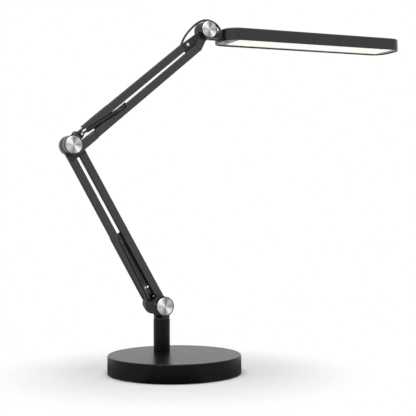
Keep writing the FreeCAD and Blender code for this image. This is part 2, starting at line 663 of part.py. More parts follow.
def turret_bracket():
    stem = round_z(STEM_RADIUS, STEM_FOOT, 0)
    slot = block(-2 * STEM_RADIUS, 2 * STEM_RADIUS, -HUB_CHEEK_INNER, HUB_CHEEK_INNER, STEM_SOLID_TOP,
                 LOWER_HUB_RADIUS)
    hub = (0, 0)
    front = link(hub, LOWER_HUB_RADIUS, LOWER_PIN, LOBE_RADIUS, -HUB_CHEEK_OUTER, -HUB_CHEEK_INNER)
    window = round_y(LOBE_WINDOW_RADIUS, -HUB_HALF_LENGTH, -HUB_CHEEK_INNER + CUT_OVERRUN, LOBE_WINDOW)
    rear = link(hub, LOWER_HUB_RADIUS, LOWER_PIN, REAR_LOBE_RADIUS, HUB_CHEEK_INNER, HUB_CHEEK_OUTER)
    bracket = fuse(stem.cut(slot), front.cut(window), rear, *hub_cheeks(LOWER_HUB_RADIUS))
    pin_hole = round_y(LOWER_PIN_RADIUS + SEAT_GAP, -HUB_HALF_LENGTH, HUB_HALF_LENGTH, LOWER_PIN)
    spindle_hole = round_z(SPINDLE_RADIUS + SEAT_GAP, STEM_FOOT - CUT_OVERRUN, STEM_SOLID_TOP + CUT_OVERRUN)
    lead_radius = LEAD_RADIUS + LEAD_BORE_GAP
    lead_hole = round_y(lead_radius, SPINDLE_RADIUS, STEM_RADIUS + CUT_OVERRUN, (0, -STEM_LEAD_DROP))
    return bracket.cut(hub_opening(LOWER_CAP_RADIUS)).cut(pin_hole).cut(spindle_hole).cut(lead_hole)


def lower_spring_pin():
    shank = round_y(LOWER_PIN_RADIUS, -HUB_CHEEK_OUTER, HUB_CHEEK_OUTER, LOWER_PIN)
    head_front = -HUB_CHEEK_OUTER - LOWER_PIN_HEAD_HEIGHT
    head = round_y(LOWER_PIN_HEAD_RADIUS, head_front, -HUB_CHEEK_OUTER, LOWER_PIN)
    return fuse(shank, head)


# Bars and their joints

def stretch(line, s0, s1, w0, w1):
    """Stretch of a bar's outline between two distances along the arm, its ends square to the arm."""
    edge = BAR_WIDTH / 2
    low = [beside(line, s0, -edge), beside(line, s1, -edge)]
    high = [beside(line, s1, edge), beside(line, s0, edge)]
    return prism(low + high, w0, w1)


def bar(line):
    """Flat bar with bevelled long edges."""
    solid = stretch(line, line[0][0], line[1][0], -BAR_HALF, BAR_HALF)
    length = math.dist(*line)
    long_edges = [edge for edge in solid.Edges if abs(edge.Length - length) < CUT_OVERRUN]
    return solid.makeChamfer(BAR_EDGE_CHAMFER, long_edges)


def tenon(line, at_end, gap=0):
    """Tongue that enters a bar at one end, larger by a gap when it cuts the bar's mortise."""
    inward = -1 if at_end else 1
    shoulder = line[1][0] if at_end else line[0][0]
    root = point_on(line, shoulder - inward * CUT_OVERRUN)
    tip = point_on(line, shoulder + inward * (TENON_LENGTH + gap))
    half = TENON_DEPTH / 2 + gap
    return strip(root, tip, TENON_WIDTH + 2 * gap, -half, half)


def corridor(start, end, spring_radius):
    """Room that a spring needs between and inside the bars of an arm."""
    width = 2 * (spring_radius + SPRING_CORRIDOR_GAP)
    passage = strip(start, end, width, -BAR_DEPTH, BAR_DEPTH)
    return fuse(passage, round_y(width / 2, -BAR_DEPTH, BAR_DEPTH, end))


def lower_pin_place():
    return in_frame(LOWER, TURRET, LOWER_PIN)


def lower_front_bar():
    cut = bar(LOWER_FRONT_BAR).cut(tenon(LOWER_FRONT_BAR, False, TENON_GAP))
    cut = cut.cut(tenon(LOWER_FRONT_BAR, True, TENON_GAP))
    cut = cut.cut(corridor(lower_pin_place(), LOWER_ANCHOR, LOWER_SPRING_RADIUS))
    return cut.cut(screw_holes(lower_screw_places()))


def lower_rear_bar():
    cut = bar(LOWER_REAR_BAR).cut(tenon(LOWER_REAR_BAR, True, TENON_GAP))
    cut = cut.cut(corridor(lower_pin_place(), LOWER_ANCHOR, LOWER_SPRING_RADIUS))
    return cut.cut(screw_holes(lower_screw_places()))


def lower_foot():
    knuckle = round_y(FOOT_RADIUS, -HUB_CENTRE_HALF, HUB_CENTRE_HALF)
    neck = stretch(LOWER_FRONT_BAR, 0, LOWER_FRONT_START, -BAR_HALF, BAR_HALF)
    return fuse(knuckle, neck, tenon(LOWER_FRONT_BAR, False)).cut(hub_bore(RUNNING_GAP))


def elbow_housing():
    hub = (LOWER_LENGTH, 0)
    pin = in_frame(LOWER, UPPER, UPPER_PIN)
    hole = in_frame(LOWER, UPPER, LUG_HOLE)
    front_edge = LOWER_FRONT_BAR[1][1] - BAR_WIDTH / 2
    rear_edge = LOWER_REAR_BAR[1][1] + BAR_WIDTH / 2
    shoulder = LOWER_FRONT_BAR[1][0]
    knuckle = round_y(HOUSING_RADIUS, -HUB_CENTRE_HALF, HUB_CENTRE_HALF, hub)
    neck = block(shoulder, LOWER_LENGTH, -BAR_HALF, BAR_HALF, front_edge, rear_edge)
    slot_low = LOWER_FRONT_BAR[1][1] + BAR_WIDTH / 2
    slot_high = LOWER_REAR_BAR[1][1] - BAR_WIDTH / 2
    recess = block(shoulder - CUT_OVERRUN, shoulder + HOUSING_RECESS_LENGTH, -BAR_DEPTH,
                   HOUSING_RECESS_DEPTH - BAR_HALF, slot_low, slot_high)
    lug = link(hub, LUG_ROOT_RADIUS, pin, LUG_TIP_RADIUS, -LUG_HALF_DEPTH, LUG_HALF_DEPTH)
    ear = link(hub, LUG_ROOT_RADIUS, hole, LUG_EYE_RADIUS, -LUG_HALF_DEPTH, LUG_HALF_DEPTH)
    tongues = [tenon(LOWER_FRONT_BAR, True), tenon(LOWER_REAR_BAR, True)]
    body = fuse(knuckle, neck.cut(recess), lug, ear, *tongues)
    pin_hole = round_y(UPPER_PIN_RADIUS + SEAT_GAP, -HUB_HALF_LENGTH, HUB_HALF_LENGTH, pin)
    ear_hole = round_y(LUG_HOLE_RADIUS, -HUB_HALF_LENGTH, HUB_HALF_LENGTH, hole)
    bore = round_y(AXLE_RADIUS + RUNNING_GAP, -HUB_HALF_LENGTH, HUB_HALF_LENGTH, hub)
    return body.cut(pin_hole).cut(ear_hole).cut(bore)


def upper_spring_pin():
    return round_y(UPPER_PIN_RADIUS, -UPPER_PIN_HALF, UPPER_PIN_HALF, UPPER_PIN)


def elbow_yoke():
    shoulder = UPPER_BOTTOM_START
    neck_end = YOKE_BLOCK_START + CUT_OVERRUN
    front_neck = stretch(UPPER_BOTTOM_BAR, 0, neck_end, -YOKE_NECK_OUTER, -HUB_CHEEK_INNER)
    rear_neck = stretch(UPPER_BOTTOM_BAR, 0, neck_end, HUB_CHEEK_INNER, YOKE_NECK_OUTER)
    bridge = stretch(UPPER_BOTTOM_BAR, YOKE_BLOCK_START, shoulder, -YOKE_NECK_OUTER, YOKE_NECK_OUTER)
    end_edges = [edge for edge in bridge.Edges
                 if edge.BoundBox.XMin > neck_end and edge.BoundBox.ZLength > BAR_WIDTH / 2]
    bridge = bridge.makeChamfer(YOKE_TAPER, end_edges)
    tongue = tenon(UPPER_BOTTOM_BAR, False)
    yoke = fuse(front_neck, rear_neck, bridge, tongue, *hub_cheeks(ELBOW_HUB_RADIUS))
    return yoke.cut(hub_opening(ELBOW_CAP_RADIUS))


def upper_bottom_bar():
    cut = bar(UPPER_BOTTOM_BAR).cut(tenon(UPPER_BOTTOM_BAR, False, TENON_GAP))
    cut = cut.cut(tenon(UPPER_BOTTOM_BAR, True, TENON_GAP))
    cut = cut.cut(corridor(UPPER_PIN, UPPER_ANCHOR, UPPER_SPRING_RADIUS))
    return cut.cut(screw_holes(upper_screw_places()))


def upper_top_bar():
    edge = BAR_WIDTH / 2
    tip = beside(UPPER_TOP_BAR, UPPER_TOP_START, edge - UPPER_TOP_TIP)
    heel = beside(UPPER_TOP_BAR, UPPER_TOP_START + UPPER_TOP_SLANT, -edge)
    corner = (UPPER_TOP_START - CUT_OVERRUN, heel[1] - CUT_OVERRUN)
    slanted = bar(UPPER_TOP_BAR).cut(prism([tip, heel, corner], -BAR_DEPTH, BAR_DEPTH))
    cut = slanted.cut(tenon(UPPER_TOP_BAR, True, TENON_GAP))
    cut = cut.cut(corridor(UPPER_PIN, UPPER_ANCHOR, UPPER_SPRING_RADIUS))
    return cut.cut(screw_holes(upper_screw_places()))


def end_clearance(line):
    """Space that a bar takes up at its far end."""
    s, z = line[1]
    return block(s - 2 * BAR_WIDTH, s, -BAR_DEPTH, BAR_DEPTH, z - BAR_WIDTH, z + BAR_WIDTH)


def head_knuckle():
    hub = (UPPER_LENGTH, 0)
    knuckle = round_y(HOUSING_RADIUS, -HUB_CENTRE_HALF, HUB_CENTRE_HALF, hub)
    bottom = UPPER_BOTTOM_BAR[1]
    elbow = round_y(BAR_WIDTH / 2, -BAR_HALF, BAR_HALF, bottom)
    lower_arm = strip(bottom, hub, BAR_WIDTH, -BAR_HALF, BAR_HALF)
    tongue_half = KNUCKLE_TONGUE_DEPTH / 2
    line = (UPPER_TOP_BAR[1], hub)
    root = point_on(line, UPPER_TOP_BAR[1][0] - KNUCKLE_TONGUE_WIDTH)
    tongue = strip(root, hub, KNUCKLE_TONGUE_WIDTH, -tongue_half, tongue_half)
    tongue = tongue.cut(end_clearance(UPPER_TOP_BAR))
    lower_end = fuse(elbow, lower_arm).cut(end_clearance(UPPER_BOTTOM_BAR))
    start = UPPER_TOP_BAR[1][0] + KNUCKLE_GUSSET_GAP
    floor = BAR_WIDTH / 2 + KNUCKLE_GUSSET_GAP
    foot = beside(UPPER_BOTTOM_BAR, start, floor)
    corners = [line[0], foot, beside(UPPER_BOTTOM_BAR, bottom[0], floor), hub]
    gusset_half = KNUCKLE_GUSSET_DEPTH / 2
    gusset = prism(corners, -gusset_half, gusset_half).cut(end_clearance(UPPER_TOP_BAR))
    body = fuse(knuckle, lower_end, tongue, gusset, tenon(UPPER_BOTTOM_BAR, True), tenon(UPPER_TOP_BAR, True))
    bore = round_y(AXLE_RADIUS + RUNNING_GAP, -HUB_HALF_LENGTH, HUB_HALF_LENGTH, hub)
    for place in knuckle_screw_places():
        radius = KNUCKLE_SCREW_SHANK_RADIUS + SEAT_GAP
        body = body.cut(round_y(radius, -BAR_DEPTH, KNUCKLE_SCREW_SHANK - tongue_half, place))
    return body.cut(bore)


def knuckle_screw_places():
    line = (UPPER_TOP_BAR[1], (UPPER_LENGTH, 0))
    return [point_on(line, UPPER_LENGTH - back) for back in KNUCKLE_SCREW_BACKS]


def knuckle_screws():
    face = -KNUCKLE_TONGUE_DEPTH / 2
    screws = []
    for place, radius in zip(knuckle_screw_places(), KNUCKLE_SCREW_RADII):
        head = round_y(radius, face - KNUCKLE_SCREW_HEAD, face, place)
        shank = round_y(KNUCKLE_SCREW_SHANK_RADIUS, face, face + KNUCKLE_SCREW_SHANK, place)
        screws.append(fuse(head, shank))
    return Part.makeCompound(screws)


# Web plates behind the bars

def screw_places(low_bar, high_bar, first, last):
    """Two screws in each bar of an arm, near the bars' outer edges."""
    shift = BAR_WIDTH / 2 - WEB_SCREW_EDGE
    low = [beside(low_bar, s, -shift) for s in (first, last)]
    return low + [beside(high_bar, s, shift) for s in (first, last)]


def lower_screw_places():
    first = LOWER_WEB_START + LOWER_WEB_FIRST_SCREW
    return screw_places(LOWER_FRONT_BAR, LOWER_REAR_BAR, first, LOWER_WEB_END - WEB_LAST_SCREW)


def upper_screw_places():
    first = UPPER_WEB_START + UPPER_WEB_FIRST_SCREW
    return screw_places(UPPER_BOTTOM_BAR, UPPER_TOP_BAR, first, UPPER_WEB_END - WEB_LAST_SCREW)


def screw_holes(places):
    radius = WEB_SCREW_RADIUS + SEAT_GAP
    holes = [round_y(radius, BAR_HALF - WEB_SCREW_DEPTH, WEB_BACK + CUT_OVERRUN, place) for place in places]
    return Part.makeCompound(holes)


def web_screws(places):
    screws = []
    for place in places:
        shank = round_y(WEB_SCREW_RADIUS, BAR_HALF - WEB_SCREW_DEPTH, WEB_BACK, place)
        head = round_y(WEB_SCREW_HEAD_RADIUS, WEB_BACK, WEB_BACK + WEB_SCREW_HEAD_HEIGHT, place)
        screws.append(fuse(shank, head))
    return Part.makeCompound(screws)


def web_plate(low_bar, high_bar, start, end, back=WEB_BACK):
    """Plate across the backs of both bars of an arm."""
    edge = BAR_WIDTH / 2
    low = [beside(low_bar, start, -edge), beside(low_bar, end, -edge)]
    high = [beside(high_bar, end, edge), beside(high_bar, start, edge)]
    return prism(low + high, BAR_HALF, back)


def lower_web():
    plate = web_plate(LOWER_FRONT_BAR, LOWER_REAR_BAR, LOWER_WEB_START, LOWER_WEB_END)
    tail_back = HUB_CHEEK_INNER - 2 * FACE_GAP
    tail_end = LOWER_WEB_START + CUT_OVERRUN
    tail = web_plate(LOWER_FRONT_BAR, LOWER_REAR_BAR, LOWER_REAR_START, tail_end, tail_back)
    pin_sweep = math.dist((0, 0), LOWER_PIN) + LOWER_PIN_RADIUS + CASING_GAP
    tail = tail.cut(round_y(pin_sweep, -BAR_DEPTH, BAR_DEPTH))
    pin = round_y(ANCHOR_PIN_RADIUS, -ANCHOR_PIN_FRONT, WEB_BACK, LOWER_ANCHOR)
    web = fuse(plate, tail, pin).cut(screw_holes(lower_screw_places()))
    for place in LOWER_WEB_HOLES:
        web = web.cut(round_y(LOWER_WEB_HOLE_RADIUS, 0, BAR_DEPTH, place))
    return web


def upper_web():
    plate = web_plate(UPPER_BOTTOM_BAR, UPPER_TOP_BAR, UPPER_WEB_START, UPPER_WEB_END)
    edge = BAR_WIDTH / 2
    arm_end = UPPER_ANCHOR[0] + ANCHOR_PLATE_MARGIN
    arm_top = UPPER_ANCHOR[1] + 2 * ANCHOR_PIN_RADIUS
    arm_outline = [
        beside(UPPER_BOTTOM_BAR, UPPER_WEB_START, -edge), beside(UPPER_BOTTOM_BAR, arm_end, -edge),
        (arm_end, arm_top), (UPPER_WEB_START, arm_top),
    ]
    pin = round_y(ANCHOR_PIN_RADIUS, -ANCHOR_PIN_FRONT, WEB_BACK, UPPER_ANCHOR)
    return fuse(plate, prism(arm_outline, BAR_HALF, WEB_BACK), pin).cut(screw_holes(upper_screw_places()))


# Springs

def along(start, end, distance):
    """Place at a distance from start towards end."""
    share = distance / math.dist(start, end)
    return (start[0] + (end[0] - start[0]) * share, start[1] + (end[1] - start[1]) * share)


def spring_span(pin, anchor, start, end):
    return along(pin, anchor, start), along(anchor, pin, end)


def lower_spring():
    span = spring_span(lower_pin_place(), LOWER_ANCHOR, LOWER_SPRING_START, LOWER_SPRING_END)
    return coil(*span, LOWER_SPRING_RADIUS, LOWER_SPRING_WIRE_RADIUS, LOWER_SPRING_TURNS, "lower spring")


def upper_spring():
    span = spring_span(UPPER_PIN, UPPER_ANCHOR, UPPER_SPRING_START, UPPER_SPRING_END)
    return coil(*span, UPPER_SPRING_RADIUS, UPPER_SPRING_WIRE_RADIUS, UPPER_SPRING_TURNS, "upper spring")


def spring_end(pin, pin_radius, turns_end, inner_radius, w0, w1):
    """Plug inside a spring's last turns with a flat tongue and an eye round its pin."""
    run = Vector(turns_end[0] - pin[0], 0, turns_end[1] - pin[1])
    inside = along(pin, turns_end, run.Length + SPRING_PLUG_LENGTH)
    base = Vector(turns_end[0], 0, turns_end[1])
    plug = Part.makeCylinder(inner_radius - SPRING_PLUG_GAP, SPRING_PLUG_LENGTH, base, run)
    tongue = strip(pin, inside, SPRING_TONGUE_WIDTH, w0, w1)
    within = fuse(plug, strip(pin, turns_end, 2 * SPRING_EYE_RADIUS, w0, w1))
    eye = round_y(SPRING_EYE_RADIUS, w0, w1, pin)
    hole = round_y(pin_radius + SPRING_EYE_GAP, w0 - CUT_OVERRUN, w1 + CUT_OVERRUN, pin)
    root = strip(along(turns_end, pin, SPRING_TONGUE_WIDTH), turns_end, SPRING_TONGUE_WIDTH,
                 min(w0, -SPRING_TONGUE_HALF), max(w1, SPRING_TONGUE_HALF))
    cheeks = fuse(eye, tongue.common(within), root).cut(hole)
    return fuse(plug, cheeks)


def lower_spring_ends():
    pin = lower_pin_place()
    first, last = spring_span(pin, LOWER_ANCHOR, LOWER_SPRING_START, LOWER_SPRING_END)
    inner = LOWER_SPRING_RADIUS - 2 * LOWER_SPRING_WIRE_RADIUS
    half = SPRING_TONGUE_HALF
    low = spring_end(pin, LOWER_PIN_RADIUS, first, inner, -half, half)
    high = spring_end(LOWER_ANCHOR, ANCHOR_PIN_RADIUS, last, inner, -half, half)
    return Part.makeCompound([low, high])


def upper_spring_ends():
    first, last = spring_span(UPPER_PIN, UPPER_ANCHOR, UPPER_SPRING_START, UPPER_SPRING_END)
    inner = UPPER_SPRING_RADIUS - 2 * UPPER_SPRING_WIRE_RADIUS
    half = SPRING_TONGUE_HALF
    front = -SPRING_EYE_OFFSET
    low = spring_end(UPPER_PIN, UPPER_PIN_RADIUS, first, inner, front - half, front + half)
    high = spring_end(UPPER_ANCHOR, ANCHOR_PIN_RADIUS, last, inner, -half, half)
    return Part.makeCompound([low, high])


# Lead along the arms

def lead_run(line, ends, radius):
    """Straight stretch of lead behind a bar, between two distances along the arm."""
    first, last = (beside(line, s, -LEAD_INSET) for s in ends)
    start = Vector(first[0], LEAD_W, first[1])
    run = Vector(last[0], LEAD_W, last[1]) - start
    return Part.makeCylinder(radius, run.Length, start, run)


def lead_clips(line, ends, web_end):
    """Saddles that hold the lead, seated on the web where there is one and on the bar elsewhere."""
    bore = lead_run(line, ends, LEAD_RADIUS + LEAD_BORE_GAP)
    outer = LEAD_RADIUS + LEAD_CLIP_WALL
    clips = []
    for share in LEAD_CLIP_SHARES:
        middle = ends[0] + (ends[1] - ends[0]) * share
        seat = WEB_BACK if middle < web_end else BAR_HALF
        first = beside(line, middle - LEAD_CLIP_LENGTH / 2, -LEAD_INSET)
        last = beside(line, middle + LEAD_CLIP_LENGTH / 2, -LEAD_INSET)
        clips.append(strip(first, last, 2 * outer, seat, LEAD_W + outer).cut(bore))
    return Part.makeCompound(clips)


# Head

def rounded_slab(x0, x1, half_width, corner, z0, z1):
    """Flat slab with rounded corners in plan."""
    slab = block(x0, x1, -half_width, half_width, z0, z1)
    upright = [edge for edge in slab.Edges if edge.tangentAt(edge.FirstParameter).cross(Z_AXIS).Length < 0.5]
    return slab.makeFillet(corner, upright)


def head_cover():
    shell = rounded_slab(HEAD_START, HEAD_END, HEAD_HALF, HEAD_CORNER_RADIUS, HEAD_BOTTOM, HEAD_TOP)
    rim = [edge for edge in shell.Edges if edge.BoundBox.ZMin > HEAD_TOP - CUT_OVERRUN]
    shell = shell.makeFillet(HEAD_EDGE_RADIUS, rim)
    hollow = rounded_slab(HEAD_START + HEAD_WALL, HEAD_END - HEAD_WALL, HEAD_HALF - HEAD_WALL,
                          HEAD_CORNER_RADIUS - HEAD_WALL, HEAD_BOTTOM - CUT_OVERRUN, HEAD_CEILING)
    shell = shell.cut(hollow)
    root = HEAD_CEILING + HEAD_WALL / 2
    bosses = [round_z(BOSS_RADIUS, SPREADER_TOP, root, x, y) for x, y in boss_places()]
    posts = [block(x0, x0 + SWITCH_POST_SIZE, -SWITCH_POST_SIZE / 2, SWITCH_POST_SIZE / 2,
                   SWITCH_BOARD_BOTTOM + BOARD_THICKNESS, root)
             for x0 in (switch_board_start(), switch_board_start() + SWITCH_BOARD_LENGTH - SWITCH_POST_SIZE)]
    cover = fuse(shell, *bosses, *posts)
    for x, y in boss_places():
        radius = SPREADER_SCREW_RADIUS + SEAT_GAP
        hole_end = SPREADER_TOP + SPREADER_SCREW_DEPTH
        cover = cover.cut(round_z(radius, SPREADER_TOP - CUT_OVERRUN, hole_end, x, y))
    radius = GROMMET_RADIUS + SEAT_GAP
    entry = round_z(radius, HEAD_CEILING - CUT_OVERRUN, HEAD_TOP + CUT_OVERRUN, ENTRY_X, ENTRY_W)
    return cover.cut(entry).cut(fork_tongue(SEAT_GAP))


def boss_places():
    """Bosses for the heat spreader, in two rows beside the board."""
    row = (BOARD_WIDTH + SPREADER_WIDTH) / 4
    xs = [WINDOW_X0 + (WINDOW_X1 - WINDOW_X0) * share for share in BOSS_SHARES]
    return [(x, y) for x in xs for y in (-row, row)]


def head_frame():
    inset = HEAD_WALL + CASING_GAP
    frame = rounded_slab(HEAD_START + inset, HEAD_END - inset, HEAD_HALF - inset, HEAD_CORNER_RADIUS - inset,
                         FRAME_BOTTOM, FRAME_TOP)
    window = rounded_slab(WINDOW_X0, WINDOW_X1, WINDOW_WIDTH / 2, WINDOW_CORNER_RADIUS,
                          FRAME_BOTTOM - CUT_OVERRUN, FRAME_TOP + CUT_OVERRUN)
    hole = round_z(BUTTON_RADIUS + BUTTON_GAP, FRAME_BOTTOM - CUT_OVERRUN, FRAME_TOP + CUT_OVERRUN, BUTTON_X)
    return frame.cut(window).cut(hole)


def diffuser():
    half = WINDOW_WIDTH / 2
    pane = rounded_slab(WINDOW_X0 + CASING_GAP, WINDOW_X1 - CASING_GAP, half - CASING_GAP,
                        WINDOW_CORNER_RADIUS - CASING_GAP, FRAME_BOTTOM, FRAME_TOP)
    flange_corner = WINDOW_CORNER_RADIUS + DIFFUSER_FLANGE
    flange = rounded_slab(WINDOW_X0 - DIFFUSER_FLANGE, WINDOW_X1 + DIFFUSER_FLANGE, half + DIFFUSER_FLANGE,
                          flange_corner, FRAME_TOP, FRAME_TOP + DIFFUSER_FLANGE_THICKNESS)
    return fuse(pane, flange)


def led_board():
    return block(WINDOW_X0, WINDOW_X1, -BOARD_WIDTH / 2, BOARD_WIDTH / 2, BOARD_BOTTOM, BOARD_TOP)


def led_chips():
    pitch = (WINDOW_X1 - WINDOW_X0) / CHIP_COLUMNS
    half = CHIP_SIZE / 2
    chips = []
    for column in range(CHIP_COLUMNS):
        x = WINDOW_X0 + pitch * (column + 0.5)
        for y in (-CHIP_ROW_PITCH / 2, CHIP_ROW_PITCH / 2):
            bottom = BOARD_BOTTOM - CHIP_HEIGHT
            chips.append(block(x - half, x + half, y - half, y + half, bottom, BOARD_BOTTOM))
    return Part.makeCompound(chips)


def heat_spreader():
    plate = block(WINDOW_X0, WINDOW_X1, -SPREADER_WIDTH / 2, SPREADER_WIDTH / 2, BOARD_TOP, SPREADER_TOP)
    for x, y in boss_places():
        radius = SPREADER_SCREW_RADIUS + SEAT_GAP
        plate = plate.cut(round_z(radius, BOARD_TOP - CUT_OVERRUN, SPREADER_TOP + CUT_OVERRUN, x, y))
    return plate


def spreader_screws():
    screws = []
    for x, y in boss_places():
        shank = round_z(SPREADER_SCREW_RADIUS, BOARD_TOP, SPREADER_TOP + SPREADER_SCREW_DEPTH, x, y)
        head = round_z(SPREADER_SCREW_HEAD_RADIUS, BOARD_TOP - SPREADER_SCREW_HEAD_HEIGHT, BOARD_TOP, x, y)
        screws.append(fuse(shank, head))
    return Part.makeCompound(screws)


def switch_board_start():
    return BUTTON_X - SWITCH_BOARD_LENGTH / 2


def switch_board():
    start = switch_board_start()
    half = SWITCH_SIZE / 2
    stem_height = SWITCH_HEIGHT / 2
    board = block(start, start + SWITCH_BOARD_LENGTH, -SWITCH_BOARD_WIDTH / 2, SWITCH_BOARD_WIDTH / 2,
                  SWITCH_BOARD_BOTTOM, SWITCH_BOARD_BOTTOM + BOARD_THICKNESS)
    stem_top = SWITCH_BOTTOM + stem_height
    switch = block(BUTTON_X - half, BUTTON_X + half, -half, half, stem_top, SWITCH_BOARD_BOTTOM)
    stem = round_z(SWITCH_STEM_RADIUS, SWITCH_BOTTOM, stem_top, BUTTON_X)
    return fuse(board, switch, stem)


def power_button():
    cap = round_z(BUTTON_RADIUS, BUTTON_BOTTOM, BUTTON_FLANGE_BOTTOM, BUTTON_X)
    flange = round_z(BUTTON_FLANGE_RADIUS, BUTTON_FLANGE_BOTTOM, BUTTON_TOP, BUTTON_X)
    return fuse(cap, flange)


def fork_tongue(gap):
    """Tongue of the fork in the slot of the head's end wall, larger by a gap when it cuts the slot."""
    half = FORK_TONGUE_HALF + gap
    return block(FORK_BLOCK_START + CUT_OVERRUN, HEAD_START + HEAD_WALL + FORK_TONGUE_REACH, -half, half,
                 FORK_BLOCK_BOTTOM + FORK_TONGUE_INSET - gap, FORK_BLOCK_TOP - FORK_TONGUE_INSET + gap)


def head_fork():
    beam = block(0, HEAD_START, -HUB_CHEEK_OUTER, HUB_CHEEK_OUTER, FORK_BLOCK_BOTTOM, FORK_BLOCK_TOP)
    gap = block(-CUT_OVERRUN, FORK_BLOCK_START, -HUB_CHEEK_INNER, HUB_CHEEK_INNER,
                FORK_BLOCK_BOTTOM - CUT_OVERRUN, FORK_BLOCK_TOP + CUT_OVERRUN)
    fork = fuse(beam.cut(gap), fork_tongue(0), *hub_cheeks(HEAD_HUB_RADIUS))
    return fork.cut(hub_opening(HEAD_CAP_RADIUS))


def lead_grommet():
    top = HEAD_TOP + GROMMET_FLANGE_HEIGHT
    sleeve = round_z(GROMMET_RADIUS, HEAD_CEILING, top, ENTRY_X, ENTRY_W)
    flange = round_z(GROMMET_FLANGE_RADIUS, HEAD_TOP, top, ENTRY_X, ENTRY_W)
    return fuse(sleeve, flange)


def head_grommet():
    """Grommet whose bore follows the lead."""
    lead = lead_tube(HEAD_LOOP, LEAD_RADIUS + ENTRY_GAP, "grommet bore")
    lead.Placement = HEAD.inverse().multiply(HEAD_POINT)
    return lead_grommet().cut(lead)


# Each node: its name, the frame it is drawn in and its shape
def nodes():
    return [
        ("base_cover", WORLD, base_cover()),
        ("base_foot_ring", WORLD, base_foot_ring()),
        ("base_plate", WORLD, base_plate()),
        ("base_weight", WORLD, base_weight()),
        ("base_screws", WORLD, base_screws()),
        ("power_inlet", WORLD, power_inlet()),
        ("post_stud", POST, post_stud()),
        ("post_nut", POST, post_nut()),
        ("post_plug", POST, post_plug()),
        ("post_tube", POST, post_tube()),
        ("swivel_bushes", POST, swivel_bushes()),
        ("spindle", POST, spindle()),
        ("spindle_clip", POST, spindle_clip()),
        ("turret_bracket", TURRET, turret_bracket()),
        ("turret_axle", TURRET, hub_axle()),
        ("turret_caps", TURRET, hub_caps(LOWER_CAP_RADIUS)),
        ("turret_washers", TURRET, hub_washers()),
        ("lower_spring_pin", TURRET, lower_spring_pin()),
        ("lower_foot", LOWER, lower_foot()),
        ("lower_front_bar", LOWER, lower_front_bar()),
        ("lower_rear_bar", LOWER, lower_rear_bar()),
        ("lower_web", LOWER, lower_web()),
        ("lower_web_screws", LOWER, web_screws(lower_screw_places())),
        ("lower_spring", LOWER, lower_spring()),
        ("lower_spring_ends", LOWER, lower_spring_ends()),
        ("elbow_housing", LOWER, elbow_housing()),
        ("upper_spring_pin", UPPER, upper_spring_pin()),
        ("lower_lead", LOWER, lead_run(LOWER_REAR_BAR, LOWER_LEAD, LEAD_RADIUS)),
        ("lower_lead_clips", LOWER, lead_clips(LOWER_REAR_BAR, LOWER_LEAD, LOWER_WEB_END)),
        ("turret_lead_loop", TURRET, lead_tube(TURRET_LOOP, LEAD_RADIUS, "turret loop")),
        ("elbow_yoke", UPPER, elbow_yoke()),
        ("elbow_axle", UPPER, hub_axle()),
        ("elbow_caps", UPPER, hub_caps(ELBOW_CAP_RADIUS)),
        ("elbow_washers", UPPER, hub_washers()),
        ("upper_bottom_bar", UPPER, upper_bottom_bar()),
        ("upper_top_bar", UPPER, upper_top_bar()),
        ("upper_web", UPPER, upper_web()),
        ("upper_web_screws", UPPER, web_screws(upper_screw_places())),
        ("upper_spring", UPPER, upper_spring()),
        ("upper_spring_ends", UPPER, upper_spring_ends()),
        ("upper_lead", UPPER, lead_run(UPPER_TOP_BAR, UPPER_LEAD, LEAD_RADIUS)),
        ("upper_lead_clips", UPPER, lead_clips(UPPER_TOP_BAR, UPPER_LEAD, UPPER_WEB_END)),
        ("elbow_lead_loop", ELBOW, lead_tube(ELBOW_LOOP, LEAD_RADIUS, "elbow loop")),
        ("head_knuckle", UPPER, head_knuckle()),
        ("knuckle_screws", UPPER, knuckle_screws()),
        ("head_fork", HEAD, head_fork()),
        ("head_axle", HEAD, hub_axle()),
        ("head_caps", HEAD, hub_caps(HEAD_CAP_RADIUS)),
        ("head_washers", HEAD, hub_washers()),
        ("head_lead_loop", HEAD_POINT, lead_tube(HEAD_LOOP, LEAD_RADIUS, "head loop")),
        ("head_grommet", HEAD, head_grommet()),
        ("head_cover", HEAD, head_cover()),
        ("head_frame", HEAD, head_frame()),
        ("diffuser", HEAD, diffuser()),
        ("led_board", HEAD, led_board()),
        ("led_chips", HEAD, led_chips()),
        ("heat_spreader", HEAD, heat_spreader()),
        ("spreader_screws", HEAD, spreader_screws()),
        ("switch_board", HEAD, switch_board()),
        ("power_button", HEAD, power_button()),
    ]


def main():
    os.makedirs("parts", exist_ok=True)
    for name, frame, shape in nodes():
        placed = shape.copy()
        placed.Placement = frame.multiply(placed.Placement)
        solids = placed.Solids
        if not placed.isValid() or not solids:
            raise ValueError(name + " is not a valid solid")
        placed.exportStep(os.path.join("parts", name + ".step"))
        print(name, len(solids), round(sum(solid.Volume for solid in solids), 1))


main()
